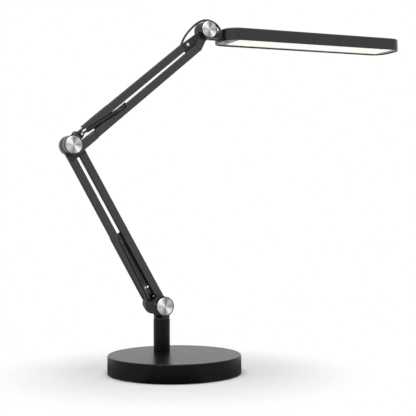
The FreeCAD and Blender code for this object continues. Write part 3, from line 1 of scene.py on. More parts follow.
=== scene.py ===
# Looks of the desk lamp with an LED head on two swing arms, in the frame of its solids. Lengths are metres.
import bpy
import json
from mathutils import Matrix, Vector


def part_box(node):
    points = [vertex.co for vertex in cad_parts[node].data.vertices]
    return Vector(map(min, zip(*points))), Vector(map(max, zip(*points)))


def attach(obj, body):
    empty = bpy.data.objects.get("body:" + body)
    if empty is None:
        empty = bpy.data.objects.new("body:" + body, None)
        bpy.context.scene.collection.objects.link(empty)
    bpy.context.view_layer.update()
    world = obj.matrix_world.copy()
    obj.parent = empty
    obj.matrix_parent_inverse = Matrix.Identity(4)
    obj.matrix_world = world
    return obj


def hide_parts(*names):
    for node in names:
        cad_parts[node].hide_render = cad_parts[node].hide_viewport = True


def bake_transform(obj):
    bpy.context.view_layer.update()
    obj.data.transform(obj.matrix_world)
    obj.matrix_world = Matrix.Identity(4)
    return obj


bl_info = {
    "name": "Swing arm desk lamp",
    "version": (1, 0, 0),
    "blender": (4, 5, 0),
    "location": "View3D > Sidebar > Desk lamp",
    "description": "Builds the finished pieces of a desk lamp with two swing arms, and a small studio",
    "category": "Add Mesh",
}

import json
import math

import bmesh
import bpy
from bpy.props import FloatProperty, FloatVectorProperty, IntProperty, PointerProperty
from mathutils import Matrix, Vector

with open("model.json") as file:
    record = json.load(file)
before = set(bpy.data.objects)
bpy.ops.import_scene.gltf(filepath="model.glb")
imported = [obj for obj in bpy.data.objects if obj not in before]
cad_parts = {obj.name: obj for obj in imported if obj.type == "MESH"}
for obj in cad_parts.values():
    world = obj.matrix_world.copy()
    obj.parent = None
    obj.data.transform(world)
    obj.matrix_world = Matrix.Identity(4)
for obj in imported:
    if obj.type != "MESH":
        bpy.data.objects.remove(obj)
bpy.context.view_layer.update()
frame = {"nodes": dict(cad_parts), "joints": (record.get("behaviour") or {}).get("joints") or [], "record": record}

MM = 0.001
SLOT_OF = {row["node"]: row["material_slot"] for row in frame["record"]["subparts"]}
BODY_OF = {node: body for body, nodes in frame["record"]["behaviour"]["bodies"].items() for node in nodes}
HUB = {joint["name"]: Vector(joint["pos_m"]) for joint in frame["joints"] if joint["type"] == "hinge"}
LOWER_HUB, ELBOW_HUB, HEAD_HUB = HUB["lower_arm_tilt"], HUB["elbow"], HUB["head_tilt"]

# Directions along and across each arm, from the hubs
LOWER_ALONG = (ELBOW_HUB - LOWER_HUB).normalized()
UPPER_ALONG = (HEAD_HUB - ELBOW_HUB).normalized()
QUARTER_TURN = Matrix.Rotation(math.radians(-90), 3, "Y")
LOWER_ACROSS = QUARTER_TURN @ LOWER_ALONG
UPPER_ACROSS = QUARTER_TURN @ UPPER_ALONG

# Routes of the lead's three loops: the control points of the solids, in millimetres from each hub
TURRET_LOOP = (
    (0, 12, -17), (0, 20.3, -17), (-1, 27.5, -12.5), (-3.5, 31, -3.8), (-9, 28, 7.4),
    (-16, 23.4, 17.2), (-24, 17.2, 25.4), (-33, 11, 33), (-41, 7.6, 43), (-47.2, 7.6, 53.3),
)
ELBOW_LOOP = (
    (17.4, 7.6, -46.7), (11.2, 7.6, -36.4), (6, 11.2, -26.2), (2.4, 16.6, -15.8), (1.2, 20, -4.2),
    (3.6, 20.4, 7.6), (10.4, 17.2, 17.6), (20.6, 11.6, 25.8), (31.4, 7.6, 34.1), (40.6, 7.6, 41.85),
)
HEAD_LOOP = (
    (-57.46, 7.6, -43.53), (-49.8, 7.6, -37.1), (-44.4, 7.2, -27), (-39.8, 7, -16), (-33, 6.8, -6),
    (-24, 6.6, 4), (-13, 6.6, 13.8), (-1, 6.6, 19.6), (11, 6.5, 20.2), (22, 6.3, 16),
    (29.5, 6.1, 9.5), (33, 6, 2), (33.6, 6, -3),
)

# Pieces that are the solids with rounded edges, and how far each edge is rounded, in millimetres
BASE_PIECES = {
    "base_cover": 0.3, "base_foot_ring": 0.4, "base_plate": 0.3, "post_tube": 0.3, "power_inlet": 0.3,
}
TURRET_PIECES = {"turret_bracket": 0.35, "lower_spring_pin": 0.4, "swivel_bushes": 0.2}
LOWER_ARM_PIECES = {
    "lower_front_bar": 0.25, "lower_rear_bar": 0.25, "lower_foot": 0.35, "lower_web": 0.25,
    "elbow_housing": 0.35, "upper_spring_pin": 0.25, "lower_lead": 0.2, "lower_lead_clips": 0.25,
}
UPPER_ARM_PIECES = {
    "elbow_yoke": 0.35, "upper_bottom_bar": 0.25, "upper_top_bar": 0.25, "upper_web": 0.25, "upper_lead": 0.2,
    "upper_lead_clips": 0.25, "head_knuckle": 0.35,
}
HEAD_PIECES = {
    "head_fork": 0.35, "head_cover": 0.8, "head_frame": 0.2, "diffuser": 0.2, "head_grommet": 0.4,
    "power_button": 0.5,
}
SPRING_END_EASE = 0.2

# Where the springs are hooked in, their bare ends outside the coil, and the stretch beyond the pin over which
# they bend, in millimetres
LOWER_PIN = LOWER_HUB + Vector((-19, 0, 5)) * MM
LOWER_ANCHOR = LOWER_HUB + (LOWER_ALONG * 138 + LOWER_ACROSS * 6.5) * MM
LOWER_BARE, LOWER_BEND = (36, 12), (4, 34)
UPPER_PIN = ELBOW_HUB + (UPPER_ALONG * 25.5 + UPPER_ACROSS * 3) * MM
UPPER_ANCHOR = ELBOW_HUB + (UPPER_ALONG * 113 - UPPER_ACROSS * 8) * MM
UPPER_BARE, UPPER_BEND = (11, 11), (3, 24)

# Turned caps, in millimetres; the dish of the face is given as shares of the radius and depths
CAP_THICKNESS, CAP_CHAMFER, CAP_LAND = 2.4, 0.7, 0.6
CAP_DISH = ((0, 0.5), (0.3, 0.35), (0.6, 0.2))

# Screws: the way that each node's heads face and their height in millimetres
SCREWS = {
    "base_screws": ((0, 0, -1), 0.9),
    "lower_web_screws": ((0, 1, 0), 1.3),
    "upper_web_screws": ((0, 1, 0), 1.3),
    "knuckle_screws": ((0, -1, 0), 1.2),
}
BRIGHT_BOLT = 2.5                     # knuckle screws with a larger head radius than this are bright, in mm
# Shares of a screw's head radius
SCREW_CROWN, CROSS_LENGTH, CROSS_WIDTH, SHANK_RADIUS = 0.9, 1.1, 0.26, 0.45

# Light of the studio on the lamp, from the camera's side (0) past the panels to the far side (1), and the light
# painted on the floor near the lamp, as reflections show it
STUDIO_LEVELS = (
    (0.0, 0.02), (0.08, 0.02), (0.13, 0.15), (0.18, 1.2), (0.24, 2.0), (0.35, 1.9), (0.45, 2.0), (0.55, 1.8),
    (0.66, 1.0), (0.78, 0.12), (0.92, 0.06), (0.97, 0.42), (1.0, 0.68),
)
FLOOR_PAINTED_LIGHT_LEVELS = (
    (0.0, 0.02), (0.03, 0.05), (0.09, 0.8), (0.2, 0.6), (0.4, 0.25), (0.5, 0.25), (0.65, 0.06), (0.75, 0.008),
    (1.0, 0.008),
)
STUDIO_BAND, STUDIO_GAIN = (0.2, 0.55), (2.0, 0.3)    # heights between which the panels fade, and levels
FLOOR_REACH = 30.0
FLOOR_FADE = (0.13, 0.33)             # distances from the post over which the floor clears to white
FLOOR_PAINTED_LIGHT_BAND, FLOOR_PAINTED_LIGHT_GAIN = (0.25, 0.45), (2.0, 9.0)     # distances over which the light painted on the floor for reflections gains, and levels

# Camera and lights, fitted to the photo
CAMERA_SWING = math.radians(28)       # angle between the view and the normal of the arms' plane
CAMERA_PLACE = (-0.6692, -1.3779, 0.2567)
CAMERA_ROLL, CAMERA_SHIFT, SENSOR_WIDTH = 0.0036, 0.0209, 36
LIGHT_TARGET = Vector((0.05, 0.049, 0.25))
KEY_BACK, KEY_LEFT, KEY_UP, KEY_SIZE = 1.15, 0.3, 1.3, (1.0, 0.7)
TOP_UP, TOP_SIZE = 1.75, (1.6, 1.6)

NOISE_LOW, NOISE_HIGH = 0.3, 0.7      # where most of a noise's values lie
CLOUD = 18                            # grains across one cloud of a grained surface
WELD = 1e-6                           # vertices of the solids' loose triangles that are one corner
FLAT = math.radians(0.6)              # facets that lie in one face
CORNER = math.radians(35)             # edges that are rounded
CREASE = math.radians(50)             # edges that stay sharp in the shading
TURNED_CREASE = math.radians(25)      # the same on turned caps
SCREW_CREASE = math.radians(30)       # and on screws


def tone(code):
    """Linear colour of an sRGB hex value; a colour that is linear already stays."""
    if not isinstance(code, str):
        return tuple(code)
    parts = [int(code[i:i + 2], 16) / 255 for i in (1, 3, 5)]
    return tuple(c / 12.92 if c <= 0.04045 else ((c + 0.055) / 1.055) ** 2.4 for c in parts)


def add(tree, kind, inputs=None, **settings):
    """One node with its settings; an input takes a value or another node's output."""
    node = tree.nodes.new(kind)
    for key, value in settings.items():
        setattr(node, key, value)
    for key, value in (inputs or {}).items():
        if isinstance(value, bpy.types.NodeSocket):
            tree.links.new(value, node.inputs[key])
        else:
            node.inputs[key].default_value = value
    return node


# Materials

def blank(name):
    """New material with a Principled shader, and its tree."""
    material = bpy.data.materials.new(name)
    material.use_nodes = True
    return material, material.node_tree, material.node_tree.nodes["Principled BSDF"]


def grained(name, dark, light, roughness, grain, depth, metallic=0.0, spread=0.03, ior=None):
    """Surface with a grain: two close shades, a gloss that varies by spread, and dents. Grain and depth are
    in mm."""
    material, tree, shader = blank(name)
    place = add(tree, "ShaderNodeTexCoord").outputs["Object"]
    cloud = add(tree, "ShaderNodeTexNoise", {"Vector": place, "Scale": 1000 / (grain * CLOUD), "Detail": 3.0})
    speck = add(tree, "ShaderNodeTexNoise", {"Vector": place, "Scale": 1000 / grain, "Detail": 2.0})
    shade = add(tree, "ShaderNodeMix", {"Factor": cloud.outputs["Fac"]}, data_type="RGBA")
    shade.inputs["A"].default_value = (*tone(dark), 1)
    shade.inputs["B"].default_value = (*tone(light), 1)
    gloss = add(tree, "ShaderNodeMapRange", {
        "Value": cloud.outputs["Fac"], "From Min": NOISE_LOW, "From Max": NOISE_HIGH,
        "To Min": roughness - spread, "To Max": roughness + spread,
    })
    dents = add(tree, "ShaderNodeBump", {
        "Height": speck.outputs["Fac"], "Strength": 0.6, "Distance": depth * MM,
    })
    tree.links.new(shade.outputs["Result"], shader.inputs["Base Color"])
    tree.links.new(gloss.outputs["Result"], shader.inputs["Roughness"])
    tree.links.new(dents.outputs["Normal"], shader.inputs["Normal"])
    shader.inputs["Metallic"].default_value = metallic
    if ior:
        shader.inputs["IOR"].default_value = ior
    return material


def linished_with_painted_shade(material, depth, matt, shade, fade=0.3):
    """Keeps the gloss on faces at least a depth in mm off the arms' middle plane. Sides and recesses are matt, and
    painted shade makes them dark; the one turns into the other over a fade in mm."""
    tree = material.node_tree
    shader = tree.nodes["Principled BSDF"]
    place = add(tree, "ShaderNodeSeparateXYZ", {"Vector": add(tree, "ShaderNodeTexCoord").outputs["Object"]})
    off = add(tree, "ShaderNodeMath", {0: place.outputs["Y"], 1: LOWER_HUB.y}, operation="SUBTRACT")
    reach = add(tree, "ShaderNodeMath", {0: off.outputs["Value"]}, operation="ABSOLUTE")
    edges = {"Value": reach.outputs["Value"], "From Min": (depth - fade) * MM, "From Max": depth * MM}
    gloss = shader.inputs["Roughness"].links[0].from_socket
    rough = add(tree, "ShaderNodeMapRange", {**edges, "To Min": matt, "To Max": gloss})
    face = add(tree, "ShaderNodeMapRange", edges)
    # Painted shade: the base colour darkens on the sides and in the recesses near the arms' middle plane.
    coat = add(tree, "ShaderNodeMix", {"Factor": face.outputs["Result"]}, data_type="RGBA")
    coat.inputs["A"].default_value = (*tone(shade), 1)
    tree.links.new(shader.inputs["Base Color"].links[0].from_socket, coat.inputs["B"])
    tree.links.new(coat.outputs["Result"], shader.inputs["Base Color"])
    tree.links.new(rough.outputs["Result"], shader.inputs["Roughness"])
    return material


def spun_aluminium(radius=15.0, groove=0.9):
    """Turned disc: fine rings draw the reflections out into rays, and a painted reflection fans the face's colour
    from light to dark round its middle, as a turned face looks under a lamp. The real grooves are about 0.1 mm
    apart. They are drawn coarser."""
    material, tree, shader = blank("spun_aluminium")
    turning = add(tree, "ShaderNodeUVMap", uv_map="turning")
    along = add(tree, "ShaderNodeSeparateXYZ", {"Vector": turning.outputs["UV"]})
    rings = add(tree, "ShaderNodeTexNoise", {
        "W": along.outputs["X"], "Scale": radius / groove, "Detail": 2.0,
    }, noise_dimensions="1D")
    gloss = add(tree, "ShaderNodeMapRange", {
        "Value": rings.outputs["Fac"], "From Min": NOISE_LOW, "From Max": NOISE_HIGH,
        "To Min": 0.34, "To Max": 0.4,
    })
    # Painted reflection: the base colour fans from light to dark round the face, bright where a lamp would be
    # mirrored.
    painted_reflection_fan = add(tree, "ShaderNodeValToRGB", {"Fac": along.outputs["Y"]})
    rays = (
        (0.0, "#8e8e8e"), (0.06, "#b0b0b0"), (0.13, "#cacaca"), (0.21, "#8c8c8c"), (0.25, "#7a7a7a"),
        (0.31, "#c6c6c6"), (0.36, "#fafafa"), (0.42, "#ececec"), (0.5, "#b4b4b4"), (0.58, "#cecece"),
        (0.68, "#a4a4a4"), (0.74, "#7a7a7a"), (0.8, "#bcbcbc"), (0.86, "#fafafa"), (0.92, "#dedede"),
        (1.0, "#8e8e8e"),
    )
    for place, shade in rays[1:-1]:
        painted_reflection_fan.color_ramp.elements.new(place)
    for element, (place, shade) in zip(painted_reflection_fan.color_ramp.elements, rays):
        element.position, element.color = place, (*tone(shade), 1)
    ray = add(tree, "ShaderNodeTangent", direction_type="UV_MAP", uv_map="turning")
    shader.inputs["Metallic"].default_value = 1.0
    shader.inputs["Anisotropic"].default_value = 0.6
    tree.links.new(painted_reflection_fan.outputs["Color"], shader.inputs["Base Color"])
    tree.links.new(gloss.outputs["Result"], shader.inputs["Roughness"])
    tree.links.new(ray.outputs["Tangent"], shader.inputs["Tangent"])
    return material


def opal_acrylic(settings):
    """Milky, matt cast acrylic lit from behind: even white, a little warmer where its rim turns away from the
    LEDs."""
    material, tree, shader = blank("opal_acrylic")
    low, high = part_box("diffuser")
    middle, half = (low + high) / 2, (high - low) / 2
    place = add(tree, "ShaderNodeTexCoord").outputs["Object"]
    out = add(tree, "ShaderNodeVectorMath", {0: place, 1: middle}, operation="SUBTRACT")
    reach = add(tree, "ShaderNodeVectorMath", {0: out.outputs["Vector"]}, operation="ABSOLUTE")
    split = add(tree, "ShaderNodeSeparateXYZ", {"Vector": reach.outputs["Vector"]})
    rim = 14 * MM                     # width of the warmer border
    side = add(tree, "ShaderNodeMapRange", {
        "Value": split.outputs["Y"], "From Min": half.y - rim, "From Max": half.y,
    }, interpolation_type="SMOOTHSTEP")
    end = add(tree, "ShaderNodeMapRange", {
        "Value": split.outputs["X"], "From Min": half.x - rim, "From Max": half.x,
    }, interpolation_type="SMOOTHSTEP")
    edge = add(tree, "ShaderNodeMath", {0: side.outputs["Result"], 1: end.outputs["Result"]},
               operation="MAXIMUM")
    glow = add(tree, "ShaderNodeMix", {"Factor": edge.outputs["Value"]}, data_type="RGBA")
    glow.inputs["A"].default_value = (*settings.light, 1)
    glow.inputs["B"].default_value = (*settings.light_rim, 1)
    tree.links.new(glow.outputs["Result"], shader.inputs["Emission Color"])
    shader.inputs["Emission Strength"].default_value = 0.46
    shader.inputs["Specular IOR Level"].default_value = 0.0
    shader.inputs["Base Color"].default_value = (*tone("#efefec"), 1)
    shader.inputs["Roughness"].default_value = 0.3
    shader.inputs["IOR"].default_value = 1.49
    return material


def make_finishes(settings):
    """Every finish of the lamp, by the record's slot."""
    return {
        # Black baking enamel on sheet steel: deep black, soft and quiet highlights, a slight orange peel
        "black_painted_steel": grained("black_baked_enamel_steel", "#050505", "#080808", 0.29, 1.4, 0.002,
                                       spread=0.015, ior=1.24),
        # Satin black electrophoretic coat on extruded aluminium: dark grey where light lies on its linished faces,
        # with painted shade making its sides and recesses darker
        "black_coated_aluminium": linished_with_painted_shade(grained(
            "satin_black_coated_aluminium_painted_shade", settings.arm, settings.arm_light, 0.28, 0.9, 0.0015, ior=1.6),
            # the dark colour is painted shade for the sides and recesses
            3.4, 0.8, "#060606"),
        # The same coat on fine castings: deeper black, with broad soft highlights
        "black_cast_aluminium": grained("black_coated_fine_casting", "#090909", "#0d0d0d", 0.46, 0.7, 0.003),
        # Turned aluminium caps, with a painted reflection fanning round each face
        "spun_aluminium": spun_aluminium(),
        # Turned and polished steel: bright, with soft grey reflections
        "bright_steel": grained("turned_bright_steel", "#c4c4c6", "#d2d2d3", 0.24, 0.8, 0.003,
                                metallic=1.0),
        # Oil blackened spring steel: dark metal with a clear line of light along each turn
        "black_oxide_steel": grained("oil_blackened_steel", "#434346", "#4e4e52", 0.3, 0.7, 0.003,
                                     metallic=1.0),
        # Sand cast iron, as cast: dull dark grey and rough to the eye
        "cast_iron": grained("sand_cast_iron", "#3b3a39", "#4a4948", 0.72, 1.6, 0.12, metallic=0.6),
        # Zinc plated sheet: light grey metal with a faint spangle
        "zinc_plated_plate": grained("zinc_plated_sheet", "#a3a7ab", "#bcbfc2", 0.38, 2.4, 0.004,
                                     metallic=1.0),
        # Moulded rubber: matt, slightly grey black
        "black_rubber": grained("moulded_rubber", "#151515", "#1b1b1b", 0.72, 0.6, 0.02),
        # Machined black nylon: waxy, a little grey
        "bearing_nylon": grained("machined_black_nylon", "#101010", "#161616", 0.5, 0.8, 0.006, ior=1.53),
        # Pressed friction fibre: dull brown, speckled by its fibres
        "friction_fibre": grained("pressed_friction_fibre", "#4f3b2b", "#6d5642", 0.85, 0.5, 0.03),
        # Extruded PVC jacket: black, soft broad sheen
        "black_lead": grained("extruded_pvc_jacket", "#0c0c0c", "#121212", 0.36, 0.8, 0.004),
        # ABS moulded in a finely spark eroded tool: even satin black that greys under light
        "black_moulding": grained(
            "satin_black_abs", settings.head, settings.head_light, 0.3, 0.8, 0.0015),
        # The same moulding in grey: quiet satin
        "grey_moulding": grained("satin_grey_abs", "#868684", "#8e8e8c", 0.45, 0.8, 0.006),
        # Polished ABS button: glossy black
        "button_moulding": grained("polished_black_abs", "#0b0b0b", "#101010", 0.2, 1.0, 0.002),
        "opal_acrylic": opal_acrylic(settings),
        # White solder mask over glass laminate: smooth semi gloss
        "white_circuit_board": grained("white_solder_mask", "#e2e3e0", "#ecece9", 0.35, 0.5, 0.004),
        # Green solder mask over glass laminate, its weave just showing
        "green_circuit_board": grained("green_solder_mask", "#1c5a34", "#23693e", 0.32, 0.5, 0.006),
        # Phosphor in silicone over the LED dies: matt yellow
        "phosphor": grained("phosphor_silicone", "#e3c53f", "#efd45c", 0.5, 0.3, 0.01),
        # Rolled aluminium sheet as it leaves the mill: grey metal with a soft streak
        "mill_aluminium": grained("mill_finish_aluminium", "#b3b5b7", "#c4c6c8", 0.34, 2.0, 0.004,
                                  metallic=1.0),
    }


FINISH = {}


# Meshes

def linked(name, mesh):
    """New object at the origin, in the scene."""
    obj = bpy.data.objects.new(name, mesh)
    bpy.context.scene.collection.objects.link(obj)
    return obj


def settled(obj):
    """Turns the modifiers' result into the object's plain mesh."""
    graph = bpy.context.evaluated_depsgraph_get()
    graph.update()
    mesh = bpy.data.meshes.new_from_object(
        obj.evaluated_get(graph), preserve_all_data_layers=True, depsgraph=graph)
    obj.modifiers.clear()
    obj.data = mesh
    mesh.name = obj.name
    return obj


def closed_outwards(mesh):
    """Welds a mesh and turns its faces outwards."""
    work = bmesh.new()
    work.from_mesh(mesh)
    bmesh.ops.remove_doubles(work, verts=work.verts, dist=WELD)
    bmesh.ops.recalc_face_normals(work, faces=work.faces)
    work.to_mesh(mesh)
    work.free()


def stands_for(obj, node, bends=None, slot=None):
    """Gives a piece its finish and body, in place of a solid. A piece across a joint gets no body and stays fixed
    where it lies in the world."""
    slot = slot or SLOT_OF[node]
    obj.data.materials.clear()
    obj.data.materials.append(FINISH[slot])
    if bends:
        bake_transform(obj)
    else:
        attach(obj, BODY_OF[node])
    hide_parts(node)
    return obj


def eased(node, ease):
    """Copy of a solid with its facets joined into faces and its outer edges rounded."""
    mesh = frame["nodes"][node].data.copy()
    work = bmesh.new()
    work.from_mesh(mesh)
    bmesh.ops.remove_doubles(work, verts=work.verts, dist=WELD)
    bmesh.ops.dissolve_limit(work, angle_limit=FLAT, verts=work.verts, edges=work.edges)
    outer = [edge for edge in work.edges if edge.is_manifold and edge.calc_face_angle_signed() > CORNER]
    bmesh.ops.bevel(work, geom=outer, offset=ease * MM, offset_type="OFFSET", segments=2, profile=0.5,
                    affect="EDGES", clamp_overlap=True)
    work.to_mesh(mesh)
    work.free()
    mesh.shade_smooth()
    mesh.set_sharp_from_angle(angle=CREASE)
    obj = linked(node + "_finished", mesh)
    even = obj.modifiers.new("even shading", "WEIGHTED_NORMAL")
    even.keep_sharp = True
    return settled(obj)


def ease_all(pieces, share):
    """Rounded copies of a group of solids."""
    for node, ease in pieces.items():
        stands_for(eased(node, ease * share), node)


def turned_disc(profile, steps):
    """Solid of revolution about Z from (radius, height) pairs, with a map that runs outwards and round."""
    work = bmesh.new()
    turning = work.loops.layers.uv.new("turning")
    widest = max(r for r, z in profile)
    rings = []
    for r, z in profile:
        ring = []
        for step in range(steps if r else 1):
            angle = math.tau * step / steps
            ring.append(work.verts.new((r * math.cos(angle), r * math.sin(angle), z)))
        rings.append(ring)
    for (r0, _), (r1, _), low, high in zip(profile, profile[1:], rings, rings[1:]):
        for step in range(steps):
            after = (step + 1) % steps
            corners = [(low[step % len(low)], r0, step), (high[step % len(high)], r1, step),
                       (high[after % len(high)], r1, step + 1), (low[after % len(low)], r0, step + 1)]
            kept = [c for i, c in enumerate(corners) if c[0] not in [k[0] for k in corners[:i]]]
            face = work.faces.new([vert for vert, r, turn in kept])
            face.smooth = True
            for loop, (vert, r, turn) in zip(face.loops, kept):
                loop[turning].uv = (r / widest, turn / steps)
    bmesh.ops.recalc_face_normals(work, faces=work.faces)
    mesh = bpy.data.meshes.new("disc")
    work.to_mesh(mesh)
    work.free()
    return mesh


def aimed(start, end):
    """Placement whose Z runs from one point to another."""
    turn = (Vector(end) - Vector(start)).to_track_quat("Z", "Y").to_matrix().to_4x4()
    return Matrix.Translation(start) @ turn


# Node trees

def node_tree(name, sockets):
    """Empty geometry tree with a geometry output and named inputs."""
    tree = bpy.data.node_groups.new(name, "GeometryNodeTree")
    tree.interface.new_socket("Geometry", in_out="OUTPUT", socket_type="NodeSocketGeometry")
    tree.interface.new_socket("Geometry", in_out="INPUT", socket_type="NodeSocketGeometry")
    for label, kind in sockets.items():
        tree.interface.new_socket(label, in_out="INPUT", socket_type="NodeSocket" + kind)
    return tree, add(tree, "NodeGroupInput").outputs


def close_tree(tree, geometry, material):
    """Ends a tree in smooth, real, finished geometry."""
    smooth = add(tree, "GeometryNodeSetShadeSmooth", {"Geometry": geometry})
    real = add(tree, "GeometryNodeRealizeInstances", {"Geometry": smooth.outputs["Geometry"]})
    finished = add(tree, "GeometryNodeSetMaterial", {
        "Geometry": real.outputs["Geometry"], "Material": material,
    })
    add(tree, "NodeGroupOutput", {"Geometry": finished.outputs["Geometry"]})


def spring_tree():
    """Round wire wound into a spring that stands on the origin."""
    tree, given = node_tree("wound_spring", {
        "Turns": "Float", "Coil Radius": "Float", "Wire Radius": "Float", "Length": "Float",
        "Finish": "Material",
    })
    helix = add(tree, "GeometryNodeCurveSpiral", {
        "Resolution": 20, "Rotations": given["Turns"], "Start Radius": given["Coil Radius"],
        "End Radius": given["Coil Radius"], "Height": given["Length"],
    })
    wire = add(tree, "GeometryNodeCurvePrimitiveCircle", {"Resolution": 10, "Radius": given["Wire Radius"]})
    coil = add(tree, "GeometryNodeCurveToMesh", {
        "Curve": helix.outputs["Curve"], "Profile Curve": wire.outputs["Curve"], "Fill Caps": True,
    })
    close_tree(tree, coil.outputs["Mesh"], given["Finish"])
    return tree


def lead_tree():
    """Round jacket along a line."""
    tree, given = node_tree("lead_jacket", {"Lead Radius": "Float", "Finish": "Material"})
    line = add(tree, "GeometryNodeMeshToCurve", {"Mesh": given["Geometry"]})
    ring = add(tree, "GeometryNodeCurvePrimitiveCircle", {"Resolution": 20, "Radius": given["Lead Radius"]})
    jacket = add(tree, "GeometryNodeCurveToMesh", {
        "Curve": line.outputs["Curve"], "Profile Curve": ring.outputs["Curve"], "Fill Caps": True,
    })
    close_tree(tree, jacket.outputs["Mesh"], given["Finish"])
    return tree


def screw_tree():
    """Cross head screw at every point, its head towards the point's facing."""
    tree, given = node_tree("cross_head_screws", {
        "Head Radius": "Float", "Head Height": "Float", "Shank Radius": "Float", "Shank Length": "Float",
        "Finish": "Material",
    })
    crown, arm, slot = (
        add(tree, "ShaderNodeMath", {0: given["Head Radius"], 1: share}, operation="MULTIPLY")
        for share in (SCREW_CROWN, CROSS_LENGTH, CROSS_WIDTH)
    )
    head = add(tree, "GeometryNodeMeshCone", {
        "Vertices": 32, "Radius Top": crown.outputs["Value"], "Radius Bottom": given["Head Radius"],
        "Depth": given["Head Height"],
    })
    cut = []
    for first, second in ((arm, slot), (slot, arm)):
        size = add(tree, "ShaderNodeCombineXYZ", {
            "X": first.outputs["Value"], "Y": second.outputs["Value"], "Z": given["Head Height"],
        })
        bar = add(tree, "GeometryNodeMeshCube", {"Size": size.outputs["Vector"]})
        cut.append(bar.outputs["Mesh"])
    cross = add(tree, "GeometryNodeJoinGeometry")
    for bar in cut:
        tree.links.new(bar, cross.inputs["Geometry"])
    lift = add(tree, "ShaderNodeCombineXYZ", {"Z": given["Head Height"]})
    raised = add(tree, "GeometryNodeTransform", {
        "Geometry": cross.outputs["Geometry"], "Translation": lift.outputs["Vector"],
    })
    driven = add(tree, "GeometryNodeMeshBoolean", {"Mesh 1": head.outputs["Mesh"]}, operation="DIFFERENCE")
    tree.links.new(raised.outputs["Geometry"], driven.inputs["Mesh 2"])
    shank = add(tree, "GeometryNodeMeshCylinder", {
        "Vertices": 24, "Radius": given["Shank Radius"], "Depth": given["Shank Length"],
    })
    half = add(tree, "ShaderNodeMath", {0: given["Shank Length"], 1: -0.5}, operation="MULTIPLY")
    drop = add(tree, "ShaderNodeCombineXYZ", {"Z": half.outputs["Value"]})
    sunk = add(tree, "GeometryNodeTransform", {
        "Geometry": shank.outputs["Mesh"], "Translation": drop.outputs["Vector"],
    })
    whole = add(tree, "GeometryNodeJoinGeometry")
    tree.links.new(driven.outputs["Mesh"], whole.inputs["Geometry"])
    tree.links.new(sunk.outputs["Geometry"], whole.inputs["Geometry"])
    facing = add(tree, "GeometryNodeInputNamedAttribute", {"Name": "facing"}, data_type="FLOAT_VECTOR")
    turn = add(tree, "FunctionNodeAlignEulerToVector", {"Vector": facing.outputs["Attribute"]}, axis="Z")
    placed = add(tree, "GeometryNodeInstanceOnPoints", {
        "Points": given["Geometry"], "Instance": whole.outputs["Geometry"],
        "Rotation": turn.outputs["Rotation"],
    })
    close_tree(tree, placed.outputs["Instances"], given["Finish"])
    return tree


def grown(obj, tree, values):
    """Runs a geometry tree on an object and keeps the plain mesh that it makes."""
    modifier = obj.modifiers.new(tree.name, "NODES")
    modifier.node_group = tree
    names = {item.name: item.identifier for item in tree.interface.items_tree
             if item.item_type == "SOCKET" and item.in_out == "INPUT"}
    for label, value in values.items():
        modifier[names[label]] = value
    settled(obj)
    closed_outwards(obj.data)
    return obj


def route_line(name, hub, route):
    """Smooth line through a route's control points, read from its spline as a chain of vertices."""
    curve = bpy.data.curves.new(name, "CURVE")
    curve.dimensions = "3D"
    curve.resolution_u = 10
    spline = curve.splines.new("NURBS")
    spline.points.add(len(route) - 1)
    for point, offset in zip(spline.points, route):
        point.co = (*(hub + Vector(offset) * MM), 1)
    spline.order_u = 3
    spline.use_endpoint_u = True
    holder = linked(name, curve)
    graph = bpy.context.evaluated_depsgraph_get()
    graph.update()
    line = bpy.data.meshes.new_from_object(holder.evaluated_get(graph), depsgraph=graph)
    bpy.data.objects.remove(holder)
    return linked(name, line)


def separate_boxes(node):
    """Lowest and highest corners of each separate solid of a node."""
    work = bmesh.new()
    work.from_mesh(frame["nodes"][node].data)
    bmesh.ops.remove_doubles(work, verts=work.verts, dist=WELD)
    left = set(work.verts)
    boxes = []
    while left:
        group, reach = set(), [next(iter(left))]
        while reach:
            vert = reach.pop()
            if vert not in group:
                group.add(vert)
                reach += [edge.other_vert(vert) for edge in vert.link_edges]
        left -= group
        boxes.append(tuple(Vector([pick(v.co[i] for v in group) for i in range(3)]) for pick in (min, max)))
    work.free()
    return sorted(boxes, key=lambda box: tuple(box[0]))


# Sizes and colours that a user would change

class LampSizes(bpy.types.PropertyGroup):
    """Sizes of the finished pieces."""
    ease_share: FloatProperty(name="Edge rounding", description="Share of each piece's own edge rounding",
                              default=1.0, min=0.2, max=1.5, subtype="FACTOR")
    lead_radius: FloatProperty(name="Lead radius", description="Radius of the lead's jacket",
                               default=1.9 * MM, unit="LENGTH")
    lower_turns: IntProperty(name="Lower spring turns", description="Turns of the lower arm's spring",
                             default=42)
    upper_turns: IntProperty(name="Upper spring turns", description="Turns of the upper arm's spring",
                             default=40)
    lower_coil: FloatProperty(name="Lower coil radius",
                              description="Middle radius of the lower spring's turns",
                              default=3.2 * MM, unit="LENGTH")
    upper_coil: FloatProperty(name="Upper coil radius",
                              description="Middle radius of the upper spring's turns",
                              default=2.9 * MM, unit="LENGTH")
    lower_wire: FloatProperty(name="Lower wire radius", description="Wire radius of the lower spring",
                              default=0.95 * MM, unit="LENGTH")
    upper_wire: FloatProperty(name="Upper wire radius", description="Wire radius of the upper spring",
                              default=0.74 * MM, unit="LENGTH")
    disc_steps: IntProperty(name="Disc steps", description="Steps round a turned cap", default=96, min=24)


